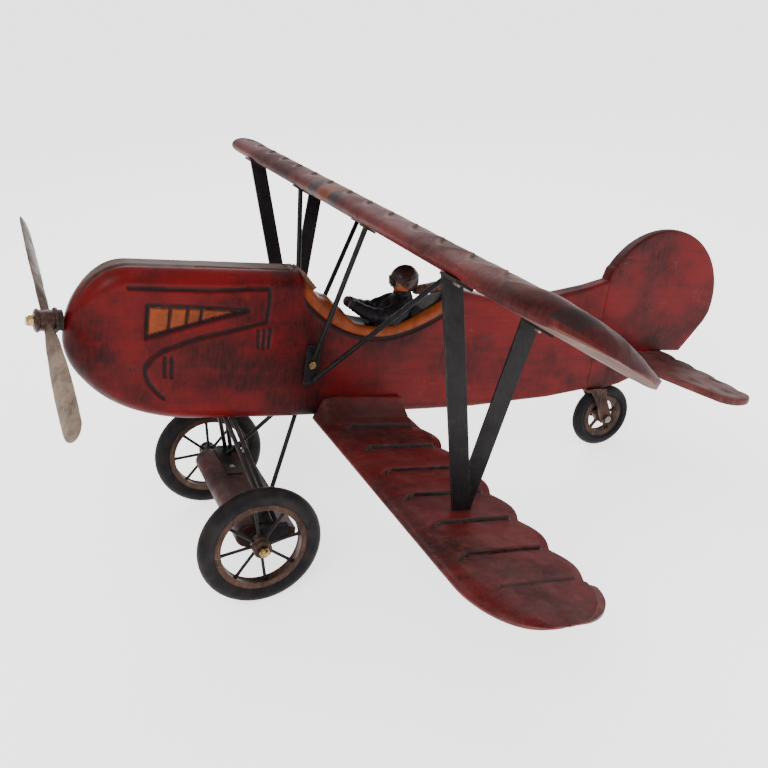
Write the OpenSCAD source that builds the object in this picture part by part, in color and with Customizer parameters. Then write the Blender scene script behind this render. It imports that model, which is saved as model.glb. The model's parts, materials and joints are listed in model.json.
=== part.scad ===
// Carved wooden biplane model on spoked wheels, with a spinning cast propeller.
// Airframe coordinates: x runs aft from the nose face, y to starboard, z up from the top deck.
// stand() pitches the airframe nose-up until all three wheels rest on z = 0.

/* [Fuselage] */
// Width of the slab fuselage ahead of the cockpit
body_w = 50; // [40:1:70]
// Depth of the slab below the top deck
body_h = 148; // [135:1:165]
// Distance from the nose face to the cockpit's front edge
deck_l = 212; // [190:1:240]
// Length from the nose face to the glued joint with the tail board
body_l = 583; // [560:1:620]
// Thickness of the tail board and fin
tail_t = 10; // [8:1:14]
// Length of the rounded top corner of the nose
nose_top_l = 55; // [40:1:70]
// Length of the rounded chin of the nose
chin_l = 122; // [90:1:145]
// Depth below the deck at which the nose reaches furthest forward
nose_z = 70; // [60:1:80]
// Radius of the long top edges
edge_r = 16; // [8:1:20]
// Depth of the cockpit's saddle below the deck
saddle_d = 52; // [35:1:58]
// Length of the saddle's front slope
saddle_front_l = 91; // [70:1:110]
// Length of the saddle's rear slope
saddle_rear_l = 83; // [65:1:90]
// Drop of the rear deck below the front deck, behind the cockpit
rear_deck_drop = 14; // [8:1:20]

/* [Cockpit and pilot] */
// Width of the well the pilot sits in
well_w = 32; // [28:1:34]
// Length of the well
well_l = 84; // [76:1:90]
// Depth of the well's floor below the deck
well_d = 70; // [66:1:90]
// Diameter of the pilot's helmeted head
head_d = 28; // [24:1:32]
// Diameter of the padded roll behind the pilot
bolster_d = 13; // [10:1:15]

/* [Tail] */
// Radius of the round fin
fin_r = 84.5; // [70:0.5:92]
// Span of the tailplane
tail_span = 316; // [260:1:360]
// Chord of the tailplane at the middle
tail_chord = 79; // [70:1:90]
// Thickness of the tailplane
tail_plank_t = 8; // [6:1:10]
// Depth of the tailplane's top face below the deck
tail_plank_z = 86; // [80:1:92]

/* [Wings] */
// Span of the upper wing
upper_span = 780; // [680:1:860]
// Chord of the upper wing
upper_chord = 130; // [120:1:145]
// Thickness of the upper wing
upper_t = 24; // [16:1:28]
// Angle of the upper wing to the deck, leading edge up
upper_angle = 23.75; // [18:0.25:26]
// Half span of the lower wings, measured from the centre line
lower_half = 398; // [360:1:430]
// Chord of the lower wings
lower_chord = 106; // [98:1:120]
// Thickness of the lower wings
lower_t = 11; // [9:1:13]
// Depth of the lower wings' top face below the deck
lower_z = 143; // [135:1:150]
// Width of one carved panel of a wing
panel_w = 48; // [40:1:56]
// Depth of the scallops along the trailing edges
scallop_d = 6; // [3:1:9]

/* [Struts and rods] */
// Width of the flat interplane strips
strip_w = 17; // [14:1:20]
// Thickness of the flat interplane strips
strip_t = 2.5; // [2:0.1:3]
// Distance of the strips' upper feet from the centre line
strip_top_y = 248; // [225:1:270]
// Distance of the strips' lower ends from the centre line
strip_low_y = 231; // [215:1:245]
// Diameter of the cabane rods
cabane_d = 5; // [4:0.5:6]
// Diameter of the undercarriage rods
gear_d = 4.5; // [4:0.5:5.5]

/* [Main wheels] */
// Outer diameter of the main tyres
tyre_d = 120; // [100:1:130]
// Thickness of the main tyres
tyre_t = 15.4; // [12:0.2:18]
// Diameter inside the main rims
rim_in_d = 77; // [66:1:84]
// Distance between the two wheels' middle planes
track = 201.4; // [190:0.2:230]
// Distance of the axle behind the nose face
axle_x = 170; // [150:1:190]
// Depth of the axle below the deck
axle_z = 243; // [230:1:260]
// Diameter of the axle
axle_d = 6; // [5:0.5:7]
// Diameter of the wheel spokes
spoke_d = 3.2; // [2.6:0.1:3.6]
// Number of spokes in a wheel
spokes = 8; // [6:1:10]
// Chord of the wooden axle fairing
fairing_chord = 60; // [52:1:70]
// Thickness of the wooden axle fairing
fairing_t = 24; // [18:1:26]

/* [Tail wheel] */
// Outer diameter of the tail tyre
tail_tyre_d = 77; // [66:1:80]
// Width of the tail tyre
tail_tyre_w = 14; // [11:1:16]
// Distance of the tail wheel's axle behind the nose face
tail_axle_x = 622; // [610:1:636]
// Depth of the tail wheel's axle below the deck
tail_axle_z = 169.5; // [168:0.5:185]

/* [Propeller] */
// Diameter swept by the blades
prop_d = 266; // [220:1:280]
// Widest chord of a blade
blade_w = 21; // [18:1:30]
// Angle of the blades to the disc they sweep
blade_pitch = 38; // [20:1:45]
// Diameter of the shaft
shaft_d = 6; // [5:0.5:7]
// Depth of the shaft below the deck
shaft_z = 56; // [50:1:64]
// Angle at which the shaft points to port
shaft_yaw = 6; // [0:0.5:8]
// Angle of the blades from upright at rest
prop_rest = 61.7; // [0:0.1:90]

/* [Hidden] */
$fn = 64;
far = 400;                  // longer than any cut needs
run_gap = 0.05;             // radial clearance of a turning fit
side_gap = 0.3;             // end clearance beside a turning part
half_w = body_w / 2;
half_t = tail_t / 2;
taper_end_x = 660;          // the sides meet the tail board's thickness here
taper = atan((half_w - half_t) / (taper_end_x - deck_l));
function side_y(x) = half_w - max(0, x - deck_l) * tan(taper);

// Stance: the line that touches the main and tail tyres becomes the ground.
main_r = tyre_d / 2;
tail_r = tail_tyre_d / 2;
base_l = tail_axle_x - axle_x;
base_z = axle_z - tail_axle_z;
base_c = sqrt(base_l * base_l + base_z * base_z);
pitch = atan(base_z / base_l) + asin((main_r - tail_r) / base_c);
lift = main_r + axle_x * sin(pitch) + axle_z * cos(pitch);
fin_x = body_l + 81;        // centre of the round fin
fin_z = -24;
front_reach = (-31 - 0) * cos(pitch) - shaft_z * sin(pitch);
rear_reach = fin_x * cos(pitch) + fin_z * sin(pitch) + fin_r;
mid_x = (front_reach + rear_reach) / 2;
module stand() {
    translate([-mid_x, 0, lift]) rotate([0, pitch, 0]) children();
}

// Extrudes an x-z outline along y, centred on the centre line.
module across(w) {
    rotate([90, 0, 0]) linear_extrude(w, center = true) children();
}
function arc(cx, cz, rx, rz, a0, a1, n = 12) =
    [for (i = [0 : n]) let (a = a0 + (a1 - a0) * i / n) [cx + rx * cos(a), cz + rz * sin(a)]];
function run(a, b) = sqrt((b - a) * (b - a));
// Points z along the line from a to b, with the x direction kept in the upright plane.
module aim(a, b) {
    d = b - a;
    translate(a) rotate([0, atan2(d[0], d[2]), 0]) rotate([asin(-d[1] / run(a, b)), 0, 0]) children();
}
module rod(a, b, d) {
    aim(a, b) cylinder(d = d, h = run(a, b), $fn = 32);
}
module strip(a, b) {
    aim(a, b) translate([0, 0, run(a, b) / 2]) cube([strip_w, strip_t, run(a, b)], center = true);
}
// A closed plan from the points of its starboard half.
function both_halves(half) = let (h = [for (p = half) if (p[1] > 0.01) p])
    concat(h, [for (i = [len(h) - 1 : -1 : 0]) [h[i][0], -h[i][1]]]);
// side = -1 is port, 1 is starboard.
module sided(side) {
    if (side < 0) mirror([0, 1, 0]) children();
    else children();
}

// Fuselage slab
saddle_mid = deck_l + saddle_front_l - 1;
saddle_end = saddle_mid + saddle_rear_l;
deck_end_x = 454;           // rear deck runs down to here, then the dorsal ridge rises
deck_end_z = -27;
joint_top_z = -1;
joint_low_z = -133;
belly_x = 430;
front_bow = 2.3;            // exponents that shape the saddle's two slopes
rear_bow = 1.7;
front_steps = 14;
rear_steps = 10;
saddle_front = [for (i = [0 : front_steps]) let (u = 1 - i / front_steps)
    [saddle_mid - saddle_front_l * u, -saddle_d * (1 - pow(u, front_bow))]];
saddle_rear = [for (i = [1 : rear_steps]) let (u = i / rear_steps)
    [saddle_mid + saddle_rear_l * u, -saddle_d + (saddle_d - rear_deck_drop) * pow(u, rear_bow)]];
slab_outline = concat(
    arc(chin_l, -nose_z, chin_l, body_h - nose_z, 270, 180, 16),
    arc(nose_top_l, -nose_z, nose_top_l, nose_z, 180, 90, 12),
    saddle_front, saddle_rear,
    [[deck_end_x, deck_end_z], [body_l - 63, -18], [body_l - 28, -10], [body_l, joint_top_z],
     [body_l, joint_low_z], [body_l - 52, -140.5], [belly_x, -body_h + 0.5], [belly_x - 60, -body_h]]);
nose_plan_l = 45;
plan_outline = concat(
    [for (i = [0 : 12]) let (a = 90 - 90 * i / 12) [nose_plan_l * (1 - sin(a)), half_w * cos(a)]],
    [[deck_l, half_w], [taper_end_x, half_t], [taper_end_x + far, half_t],
     [taper_end_x + far, -half_t], [taper_end_x, -half_t], [deck_l, -half_w]],
    [for (i = [12 : -1 : 1]) let (a = 90 - 90 * i / 12) [nose_plan_l * (1 - sin(a)), -half_w * cos(a)]]);
belly_r = 8;
module slab() {
    intersection() {
        across(body_w + 2) polygon(slab_outline);
        translate([0, 0, -far]) linear_extrude(2 * far) polygon(plan_outline);
    }
}
module rounded_front() {
    rotate([90, 0, 90]) linear_extrude(deck_l) union() {
        translate([-half_w + edge_r, -body_h]) square([body_w - 2 * edge_r, body_h]);
        translate([-half_w, -body_h + belly_r]) square([body_w, body_h - belly_r - edge_r]);
        translate([-half_w + belly_r, -body_h]) square([body_w - 2 * belly_r, body_h / 2]);
        for (s = [-1, 1]) {
            translate([s * (half_w - edge_r), -edge_r]) circle(edge_r);
            translate([s * (half_w - belly_r), -body_h + belly_r]) circle(belly_r);
        }
    }
}
well_x = saddle_mid + 14;
module well_space() {
    straight = (well_l - well_w) / 2;
    for (s = [-1, 1])
        translate([well_x + s * straight, 0, -well_d]) cylinder(d = well_w, h = well_d + 10);
    translate([well_x - straight, -well_w / 2, -well_d])
        cube([2 * straight, well_w, well_d + 10]);
}
module fuselage() {
    color("firebrick") stand() difference() {
        union() {
            intersection() {
                slab();
                rounded_front();
            }
            intersection() {
                slab();
                translate([deck_l, -far / 2, -far / 2]) cube([2 * far, far, far]);
            }
        }
        well_space();
        shaft_frame() translate([-10, 0, 0]) rotate([0, 90, 0]) cylinder(d = shaft_d, h = 80);
        for (side = [-1, 1]) sided(side) {
            gear_front_pair();
            gear_rear_one();
        }
        dowels();
        bolster_roll();
        ledge_block();
        for (side = [-1, 1]) sided(side) plate_screw_shape();
        fork_screw_shape();
    }
}

// Tail board with the round fin, and the tailplane let through it
module tail_fin() {
    tail_outline = concat(
        [[body_l, joint_low_z], [body_l, joint_top_z], [body_l + 3, 14]],
        arc(fin_x, fin_z, fin_r, fin_r, 150, -8, 24),
        [[fin_x + 66, fin_z - 42], [fin_x + 52, -tail_plank_z], [fin_x + 6, -tail_plank_z],
         [taper_end_x + 2, -tail_plank_z - 14], [taper_end_x - 4, -119], [body_l + 50, -128],
         [body_l + 26, joint_low_z]]);
    color("firebrick") stand() difference() {
        intersection() {
            across(body_w) polygon(tail_outline);
            translate([0, 0, -far]) linear_extrude(2 * far) polygon(plan_outline);
        }
        tailplane_shape();
        // Room for the tail tyre to turn
        translate([tail_axle_x, 0, -tail_axle_z]) rotate([90, 0, 0])
            cylinder(d = tail_tyre_d + 2.4, h = tail_tyre_w + 3, center = true);
        fork_screw_shape();
    }
}
tail_te_x = fin_x + 28;
module tailplane_shape() {
    lead_root = tail_te_x - tail_chord;
    lead_tip = tail_te_x - 37;
    half = tail_span / 2;
    lobes = 4;
    lobe_w = (half - 22) / lobes;
    edge = [for (i = [0 : 8 * lobes]) let (y = (half - 14) * i / (8 * lobes))
        [tail_te_x + 4 * abs(sin(180 * y / lobe_w)) - 4, y]];
    starboard = concat(edge, arc(tail_te_x - 22, half - 16, 22, 16, 20, 90, 5),
        arc(lead_tip + 14, half - 20, 20, 20, 95, 170, 5), [[lead_root + 14, 70], [lead_root, 1]]);
    translate([0, 0, -tail_plank_z - tail_plank_t]) linear_extrude(tail_plank_t)
        polygon(both_halves(starboard));
}
module tailplane() {
    color("indianred") stand() tailplane_shape();
}

// Wings: an aerofoil section cut to a plan with round tips and a scalloped trailing edge
function tip_plan(chord, half, lead_r, trail_r, start) = concat(
    [[0, start]],
    [for (i = [0 : 10]) let (a = 90 * i / 10)
        [chord * 0.49 * (1 - cos(a)), half - lead_r + lead_r * sin(a)]],
    [for (i = [1 : 9]) let (a = 90 - 90 * i / 10)
        [chord * 0.49 + (chord * 0.51 + scallop_d) * cos(a), half - trail_r + trail_r * sin(a)]]);
function scallops(chord, from, to, pitch_y, steps = 6) =
    [for (i = [0 : floor((from - to) / pitch_y * steps)])
        let (y = from - i * pitch_y / steps, u = (from - y) / pitch_y)
        [chord + scallop_d * abs(sin(180 * u)), y]];
upper_x = 231;              // leading edge of the upper wing's flat underside
upper_z = 64.7;
module upper_frame() {
    translate([upper_x, 0, upper_z]) rotate([0, upper_angle, 0]) children();
}
// A point on the underside, s back from the leading edge, in airframe coordinates
function under(s, y) = [upper_x + s * cos(upper_angle), y, upper_z - s * sin(upper_angle)];
upper_half = upper_span / 2;
upper_last = upper_half - 52;
module upper_plan() {
    polygon(both_halves(concat(tip_plan(upper_chord, upper_half, 60, 50, 1),
        scallops(upper_chord, upper_last, 0, panel_w))));
}
module upper_section() {
    t = upper_t;
    back = upper_chord + scallop_d + 1;
    polygon(concat([[back, 0]], arc(7, 6, 7, 6, 270, 180, 5), arc(34, 6, 34, t - 6, 180, 90, 10),
        [[upper_chord * 0.5, t - 1.5], [upper_chord * 0.75, t * 0.66], [back, t * 0.36]]));
}
module upper_wing() {
    color("brown") stand() difference() {
        upper_frame() intersection() {
            across(upper_span + 2) upper_section();
            translate([0, 0, -1]) linear_extrude(upper_t + 2) upper_plan();
        }
        for (side = [-1, 1]) sided(side) strut_screw_shapes();
    }
}
lower_x = 239;              // leading edge of the lower wings
first_rib = 57;
lower_last = first_rib + 6 * panel_w - 8;
root_rise = 16;
module lower_plan() {
    polygon(concat([[0, half_w - 4]], tip_plan(lower_chord, lower_half, 73, 48, half_w - 4),
        scallops(lower_chord, lower_last, first_rib, panel_w), [[lower_chord, first_rib], [lower_chord, half_w - 4]]));
}
module lower_section() {
    t = lower_t;
    back = lower_chord + scallop_d + 9;
    polygon(concat([[back, -t + 3], [60, -t]], arc(8, -t * 0.55, 8, t * 0.45, 270, 90, 8),
        [[30, 0], [70, 0], [back, -2.5]]));
}
module root_block() {
    translate([lower_x, 0, -lower_z]) rotate([90, 0, 90]) linear_extrude(lower_chord)
        polygon([[half_w - 8, -lower_t], [first_rib, -lower_t], [first_rib, 0],
            [half_w + 12, root_rise * 0.45], [half_w, root_rise], [half_w - 8, root_rise]]);
}
module lower_half_wing() {
    difference() {
        union() {
            intersection() {
                translate([lower_x, 0, -lower_z]) rotate([90, 0, 0])
                    translate([0, 0, -lower_half - 1]) linear_extrude(lower_half) lower_section();
                translate([lower_x, 0, -lower_z - lower_t - 1]) linear_extrude(lower_t + 2) lower_plan();
            }
            root_block();
        }
        // the inboard end is planed to the fuselage's tapering side
        translate([deck_l, half_w, -far]) rotate([0, 0, -taper]) translate([-far, -far, 0])
            cube([3 * far, far, 2 * far]);
        for (i = [1 : 6]) translate([lower_x + 15, first_rib + i * panel_w - 0.8 - panel_w, -lower_z - 1.2])
            cube([lower_chord + 20, 1.6, 6]);
        front_strip();
        rear_strip();
        dowels();
    }
}
module lower_wing_left() {
    color("brown") stand() sided(-1) lower_half_wing();
}
module lower_wing_right() {
    color("brown") stand() lower_half_wing();
}
dowel_d = 6;
dowel_reach = half_w + 22;
module dowels() {
    for (x = [30, 82]) translate([lower_x + x, 0, -lower_z - lower_t / 2]) rotate([90, 0, 0])
        cylinder(d = dowel_d, h = 2 * dowel_reach, center = true);
}
module wing_dowels() {
    color("burlywood") stand() dowels();
}

// Cockpit fittings and pilot
module ledge_block() {
    translate([deck_l + 9, 0, -9.5]) rotate([0, 46, 0]) cube([20, body_w - 16, 4], center = true);
}
module cockpit_ledge() {
    color("dimgray") stand() ledge_block();
}
bolster_l = 48;
bolster_end = [saddle_end + 8, 0, -rear_deck_drop + 2];
module bolster_roll() {
    translate(bolster_end) rotate([0, -101, 0]) cylinder(d1 = bolster_d, d2 = bolster_d * 0.7, h = bolster_l);
}
module cockpit_bolster() {
    color("saddlebrown") stand() bolster_roll();
}
head_at = [well_x + 12, 0, -8.5];
shoulder_at = [well_x + 13, 0, -38];
elbow = [well_x - 20, 12, -42];
hand = [well_x - 46, 5, -33];
module arm() {
    hull() {
        translate([shoulder_at[0] - 3, 11, -34]) sphere(d = 11, $fn = 32);
        translate(elbow) sphere(d = 10, $fn = 32);
    }
    hull() {
        translate(elbow) sphere(d = 10, $fn = 32);
        translate(hand) sphere(d = 8, $fn = 32);
    }
}
// The figure's trunk fills the well and is glued into it
module pilot_body() {
    color("black") stand() difference() {
        union() {
            intersection() {
                well_space();
                across(body_w) polygon(slab_outline);
            }
            hull() {
                translate(shoulder_at) sphere(d = well_w - 4, $fn = 32);
                translate([well_x - 6, 0, -well_d + 20]) sphere(d = well_w - 6, $fn = 32);
            }
            for (s = [-1, 1]) sided(s) arm();
            translate([head_at[0] - 1, 0, -34]) cylinder(d = 13, h = 20, $fn = 32);
        }
        translate(head_at) sphere(d = head_d);
        saddle_wood();
        bolster_roll();
    }
}
// The saddle's wood around the well, which the arms rest on
module saddle_wood() {
    difference() {
        across(body_w) polygon(slab_outline);
        well_space();
    }
}
module pilot_head() {
    color("saddlebrown") stand() translate(head_at) sphere(d = head_d);
}
goggle_d = 9.5;
module pilot_goggles() {
    color("gray") stand() translate(head_at) rotate([0, -6, 0]) difference() {
        union() {
            for (s = [-1, 1]) rotate([0, 0, s * 21]) rotate([0, -90, 0])
                cylinder(d = goggle_d, h = head_d / 2 + 1.8, $fn = 48);
            difference() {
                translate([0, 0, -1.5]) cylinder(d = head_d + 2, h = 3);
                translate([-head_d, -head_d * 1.5, -head_d]) translate([head_d, 0, 0]) cube(3 * head_d);
            }
        }
        sphere(d = head_d);
    }
}

// Interplane strips
under_front = under(10, strip_top_y);
under_rear = under(94.5, strip_top_y);
low_x = lower_x + 59;
pair_gap = 3.6;
slot_d = 7;
low_front = [low_x, strip_low_y + pair_gap / 2, -lower_z - slot_d];
low_rear = [low_x, strip_low_y - pair_gap / 2, -lower_z - slot_d];
foot_l = 22;
// Everything above the upper wing's underside, less a foot's thickness
module above_foot(t) {
    upper_frame() translate([-far / 2, -far * 1.5, -t]) cube([far, 3 * far, far]);
}
module foot_plate(s) {
    upper_frame() translate([s - strip_w / 2, strip_top_y - strip_t, -strip_t])
        cube([strip_w, foot_l + strip_t, strip_t]);
}
module front_strip() {
    difference() {
        strip(low_front, under_front + [0, 0, 4]);
        above_foot(0);
    }
    foot_plate(10);
}
module rear_strip() {
    difference() {
        strip(low_rear, under_rear + [0, 0, 4]);
        above_foot(0);
    }
    foot_plate(94.5);
}
module screw_cut() {
    for (side = [-1, 1]) sided(side) strut_screw_shapes();
}
module strut_screw_shapes() {
    upper_frame() for (s = [10, 94.5]) translate([s, strip_top_y + 12, 0]) {
        translate([0, 0, -strip_t]) cylinder(d = 3, h = strip_t + 9, $fn = 24);
        translate([0, 0, -strip_t - 1.6]) cylinder(d = 6, h = 1.6, $fn = 24);
    }
}
module strut(side, is_front) {
    color("darkslategray") stand() difference() {
        sided(side) {
            if (is_front) front_strip();
            else rear_strip();
        }
        screw_cut();
    }
}
module strut_front_left() { strut(-1, true); }
module strut_front_right() { strut(1, true); }
module strut_rear_left() { strut(-1, false); }
module strut_rear_right() { strut(1, false); }
module strut_screws_left() { color("silver") stand() sided(-1) strut_screw_shapes(); }
module strut_screws_right() { color("silver") stand() strut_screw_shapes(); }

// Cabane: a plate on each side of the fuselage and two rods up to the wing
plate_x = 230;
plate_z = -91;
plate_w = 14;
plate_h = 40;
plate_t = 2.5;
module on_side(x) {
    translate([deck_l, half_w, 0]) rotate([0, 0, -taper]) translate([(x - deck_l) / cos(taper), 0, 0])
        children();
}
module plate_shape() {
    on_side(plate_x) translate([0, plate_t / 2, plate_z]) cube([plate_w, plate_t, plate_h], center = true);
}
module plate_screw_shape() {
    on_side(plate_x) translate([0, 0, plate_z]) rotate([-90, 0, 0]) {
        translate([0, 0, -14]) cylinder(d = 3.4, h = 14 + plate_t, $fn = 24);
        translate([0, 0, plate_t]) cylinder(d = 7.5, h = 1.8, $fn = 32);
    }
}
rod_low_y = side_y(plate_x) + plate_t;
pad_t = 1.8;
module cabane_rod(low, s, y) {
    top = under(s, y);
    difference() {
        rod(low, top + [0, 0, 4], cabane_d);
        above_foot(0);
    }
    upper_frame() translate([s - 6, y - 4, -pad_t]) cube([12, 12, pad_t]);
}
module cabane_front_shape() { cabane_rod([plate_x + 1.5, rod_low_y + 1, plate_z + 8], 10, 90); }
module cabane_rear_shape() { cabane_rod([plate_x + 4, rod_low_y + 1, plate_z - 15], 97, 112); }
module cabane_front_left() { color("dimgray") stand() sided(-1) cabane_front_shape(); }
module cabane_front_right() { color("dimgray") stand() cabane_front_shape(); }
module cabane_rear_left() { color("dimgray") stand() sided(-1) cabane_rear_shape(); }
module cabane_rear_right() { color("dimgray") stand() cabane_rear_shape(); }
module cabane_plate(side) {
    color("dimgray") stand() sided(side) difference() {
        plate_shape();
        plate_screw_shape();
        cabane_front_shape();
        cabane_rear_shape();
    }
}
module cabane_plate_left() { cabane_plate(-1); }
module cabane_plate_right() { cabane_plate(1); }
module plate_screw(side) {
    color("goldenrod") stand() sided(side) difference() {
        plate_screw_shape();
        on_side(plate_x) translate([-5, plate_t + 1.1, plate_z - 0.5]) cube([10, 2, 1]);
        cabane_front_shape();
        cabane_rear_shape();
    }
}
module plate_screw_left() { plate_screw(-1); }
module plate_screw_right() { plate_screw(1); }

// Undercarriage legs, axle and its wooden fairing
fairing_half = 85;
fairing_plate_t = 1.6;
lug_t = 5;
leg_in = 12;                // how far a rod is let into the belly
leg_y = 15;
lug_y = fairing_half + lug_t / 2 + side_gap;
lug_reach_x = 15;
lug_reach_z = 10;
lug_at = [axle_x + lug_reach_x, lug_y, -axle_z + lug_reach_z];
function beyond(a, b, l) = a + (a - b) * l / run(a, b);
function leg_top(x, low) = beyond([x, leg_y, -body_h], low, leg_in);
twin_gap = 7.2;
module gear_front_pair() {
    for (i = [0, 1]) {
        low = lug_at + [i * 6, 0, -1];
        rod(leg_top(deck_l - 61.5 + i * twin_gap, low), low, gear_d);
    }
}
// Both pairs at once, for the notches that let them past the fairing
module gear_front_both() {
    for (s = [-1, 1]) sided(s) gear_front_pair();
}
plate_top_z = -axle_z + fairing_t / 2 + fairing_plate_t;
module gear_rear_one() {
    low = [axle_x + 10, 70, plate_top_z - 4];
    difference() {
        rod(leg_top(deck_l + 11, low), low, gear_d);
        translate([axle_x, 70, plate_top_z - 20]) cube([80, 80, 40], center = true);
    }
}
module gear_front_rods_left() { color("dimgray") stand() sided(-1) gear_front_pair(); }
module gear_front_rods_right() { color("dimgray") stand() gear_front_pair(); }
module gear_rear_rod_left() { color("dimgray") stand() sided(-1) gear_rear_one(); }
module gear_rear_rod_right() { color("dimgray") stand() gear_rear_one(); }
module at_axle() {
    translate([axle_x, 0, -axle_z]) rotate([-90, 0, 0]) children();
}
module lug_shape() {
    difference() {
        union() {
            at_axle() translate([0, 0, lug_y - lug_t / 2]) cylinder(d = 16, h = lug_t);
            translate([0, lug_y, 0]) across(lug_t)
                polygon([[axle_x, -axle_z - 8], [axle_x + 10, -axle_z - 4],
                    [lug_at[0] + 15, lug_at[2] - 7], [lug_at[0] + 15, lug_at[2] + 3],
                    [lug_at[0] - 9, lug_at[2] + 3], [axle_x - 4, -axle_z + 7]]);
        }
        at_axle() cylinder(d = axle_d, h = far, center = true);
        gear_front_pair();
    }
}
module gear_lug_left() { color("dimgray") stand() sided(-1) lug_shape(); }
module gear_lug_right() { color("dimgray") stand() lug_shape(); }
fairing_mid = axle_x + 11;
module fairing_outline() {
    c = fairing_chord;
    t = fairing_t;
    translate([fairing_mid, -axle_z]) polygon(concat(
        arc(-c / 2 + t / 2, 0, t / 2, t / 2, 90, 270, 12),
        [[c * 0.1, -t / 2]], [[c / 2, -t * 0.16]], [[c / 2, t * 0.16]], [[c * 0.1, t / 2]]));
}
module axle_fairing() {
    color("brown") stand() difference() {
        across(2 * fairing_half) fairing_outline();
        at_axle() cylinder(d = axle_d, h = far, center = true);
        fairing_screw_shapes();
        gear_front_both();
    }
}
fairing_plate_y = 52;
module fairing_plate_blanks() {
    for (s = [-1, 1]) translate([axle_x + 8, s * fairing_plate_y, -axle_z + fairing_t / 2 + fairing_plate_t / 2])
        cube([16, 62, fairing_plate_t], center = true);
}
module fairing_screw_shapes() {
    for (s = [-1, 1]) translate([axle_x + 8, s * (fairing_plate_y - 18), -axle_z + fairing_t / 2]) {
        translate([0, 0, -6]) cylinder(d = 3, h = 6 + fairing_plate_t, $fn = 24);
        translate([0, 0, fairing_plate_t]) cylinder(d = 6.5, h = 1.6, $fn = 24);
    }
}
module fairing_plates() {
    color("dimgray") stand() difference() {
        fairing_plate_blanks();
        fairing_screw_shapes();
        gear_front_both();
    }
}
module fairing_screws() { color("silver") stand() fairing_screw_shapes(); }

// Main wheels: tyre, rim, spokes and hub turn on the axle; the dome nut is fixed to it
hub_in = 9.5;
hub_out = 11.3;
hub_d = 18;
rim_out_d = 90;
rim_w = 11;
nut_af = 9;
nut_h = 4;
wheel_y = track / 2;
module at_wheel(side) {
    stand() sided(side) translate([axle_x, wheel_y, -axle_z]) rotate([-90, 0, 0]) children();
}
module spoke_star(side) {
    turn = side < 0 ? -12.85 : 36;
    rotate([0, 0, turn]) for (i = [0 : spokes - 1]) rotate([0, 0, i * 360 / spokes])
        translate([axle_d / 2 + 2, 0, 0]) rotate([0, 90, 0])
            cylinder(d = spoke_d, h = rim_in_d / 2 - axle_d / 2, $fn = 24);
}
module tyre(side) {
    color("black") at_wheel(side) rotate_extrude($fn = 96) difference() {
        translate([main_r - tyre_t / 2, 0]) circle(tyre_t / 2);
        translate([0, -tyre_t]) square([rim_out_d / 2, 2 * tyre_t]);
    }
}
module rim(side) {
    color("sienna") at_wheel(side) difference() {
        rotate_extrude($fn = 96) translate([rim_in_d / 2, -rim_w / 2])
            square([(rim_out_d - rim_in_d) / 2, rim_w]);
        spoke_star(side);
    }
}
module hub(side) {
    color("sienna") at_wheel(side) difference() {
        union() {
            translate([0, 0, -hub_in]) cylinder(d = hub_d * 0.8, h = hub_in + hub_out);
            translate([0, 0, -3]) cylinder(d = hub_d, h = 6);
            translate([0, 0, hub_out - 4]) cylinder(d = hub_d, h = 4);
        }
        translate([0, 0, -hub_in - 1]) cylinder(r = axle_d / 2 + run_gap, h = 40);
        spoke_star(side);
    }
}
module wheel_nut(side) {
    color("gold") at_wheel(side) translate([0, 0, hub_out + side_gap]) difference() {
        union() {
            cylinder(d = nut_af / cos(30), h = nut_h, $fn = 6);
            intersection() {
                translate([0, 0, nut_h - 1]) sphere(d = nut_af);
                translate([-nut_af, -nut_af, nut_h - 1]) cube(2 * nut_af);
            }
        }
        translate([0, 0, -1]) cylinder(d = axle_d, h = 1 + nut_h);
    }
}
module tyre_left() { tyre(-1); }
module tyre_right() { tyre(1); }
module rim_left() { rim(-1); }
module rim_right() { rim(1); }
module spokes_left() { color("dimgray") at_wheel(-1) spoke_star(-1); }
module spokes_right() { color("dimgray") at_wheel(1) spoke_star(1); }
module hub_left() { hub(-1); }
module hub_right() { hub(1); }
module wheel_nut_left() { wheel_nut(-1); }
module wheel_nut_right() { wheel_nut(1); }
module axle() {
    color("silver") stand() at_axle()
        cylinder(d = axle_d, h = 2 * (wheel_y + hub_out + side_gap + nut_h), center = true);
}

// Tail wheel in its fork
fork_t = 2.5;
fork_w = 12;
fork_y = tail_tyre_w / 2 + 2.5;
fork_top_z = joint_low_z + 1.8;
tail_pin_d = 5;
module at_tail_axle() {
    translate([tail_axle_x, 0, -tail_axle_z]) rotate([-90, 0, 0]) children();
}
module fork_side_outline() {
    top_x = tail_axle_x - 17;
    polygon([[top_x - 16, joint_low_z + 0.5], [top_x - 9, fork_top_z], [top_x + 8, fork_top_z], [top_x + 10, fork_top_z - 10],
        [tail_axle_x + 1, -tail_axle_z + 14], [tail_axle_x + 6, -tail_axle_z + 4],
        [tail_axle_x + 5, -tail_axle_z - 6], [tail_axle_x - 6, -tail_axle_z - 6],
        [tail_axle_x - 13, -tail_axle_z + 10], [top_x - 5, fork_top_z - 14], [top_x - 12, joint_low_z - fork_t - 1]]);
}
bridge_x = tail_axle_x - 36;
module fork_bridge() {
    translate([bridge_x, -fork_y - fork_t, joint_low_z - fork_t]) cube([14, 2 * (fork_y + fork_t), fork_t]);
}
module tail_fork() {
    color("sienna") stand() difference() {
        union() {
            for (s = [-1, 1]) translate([0, s * (fork_y + fork_t / 2), 0]) across(fork_t) fork_side_outline();
            fork_bridge();
        }
        at_tail_axle() cylinder(d = tail_pin_d, h = far, center = true);
        fork_screw_shape();
    }
}
module fork_screw_shape() {
    translate([bridge_x + 6.5, 0, joint_low_z]) {
        translate([0, 0, -fork_t]) cylinder(d = 3.4, h = 16, $fn = 24);
        translate([0, 0, -fork_t - 2]) cylinder(d = 7, h = 2, $fn = 24);
    }
}
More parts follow.
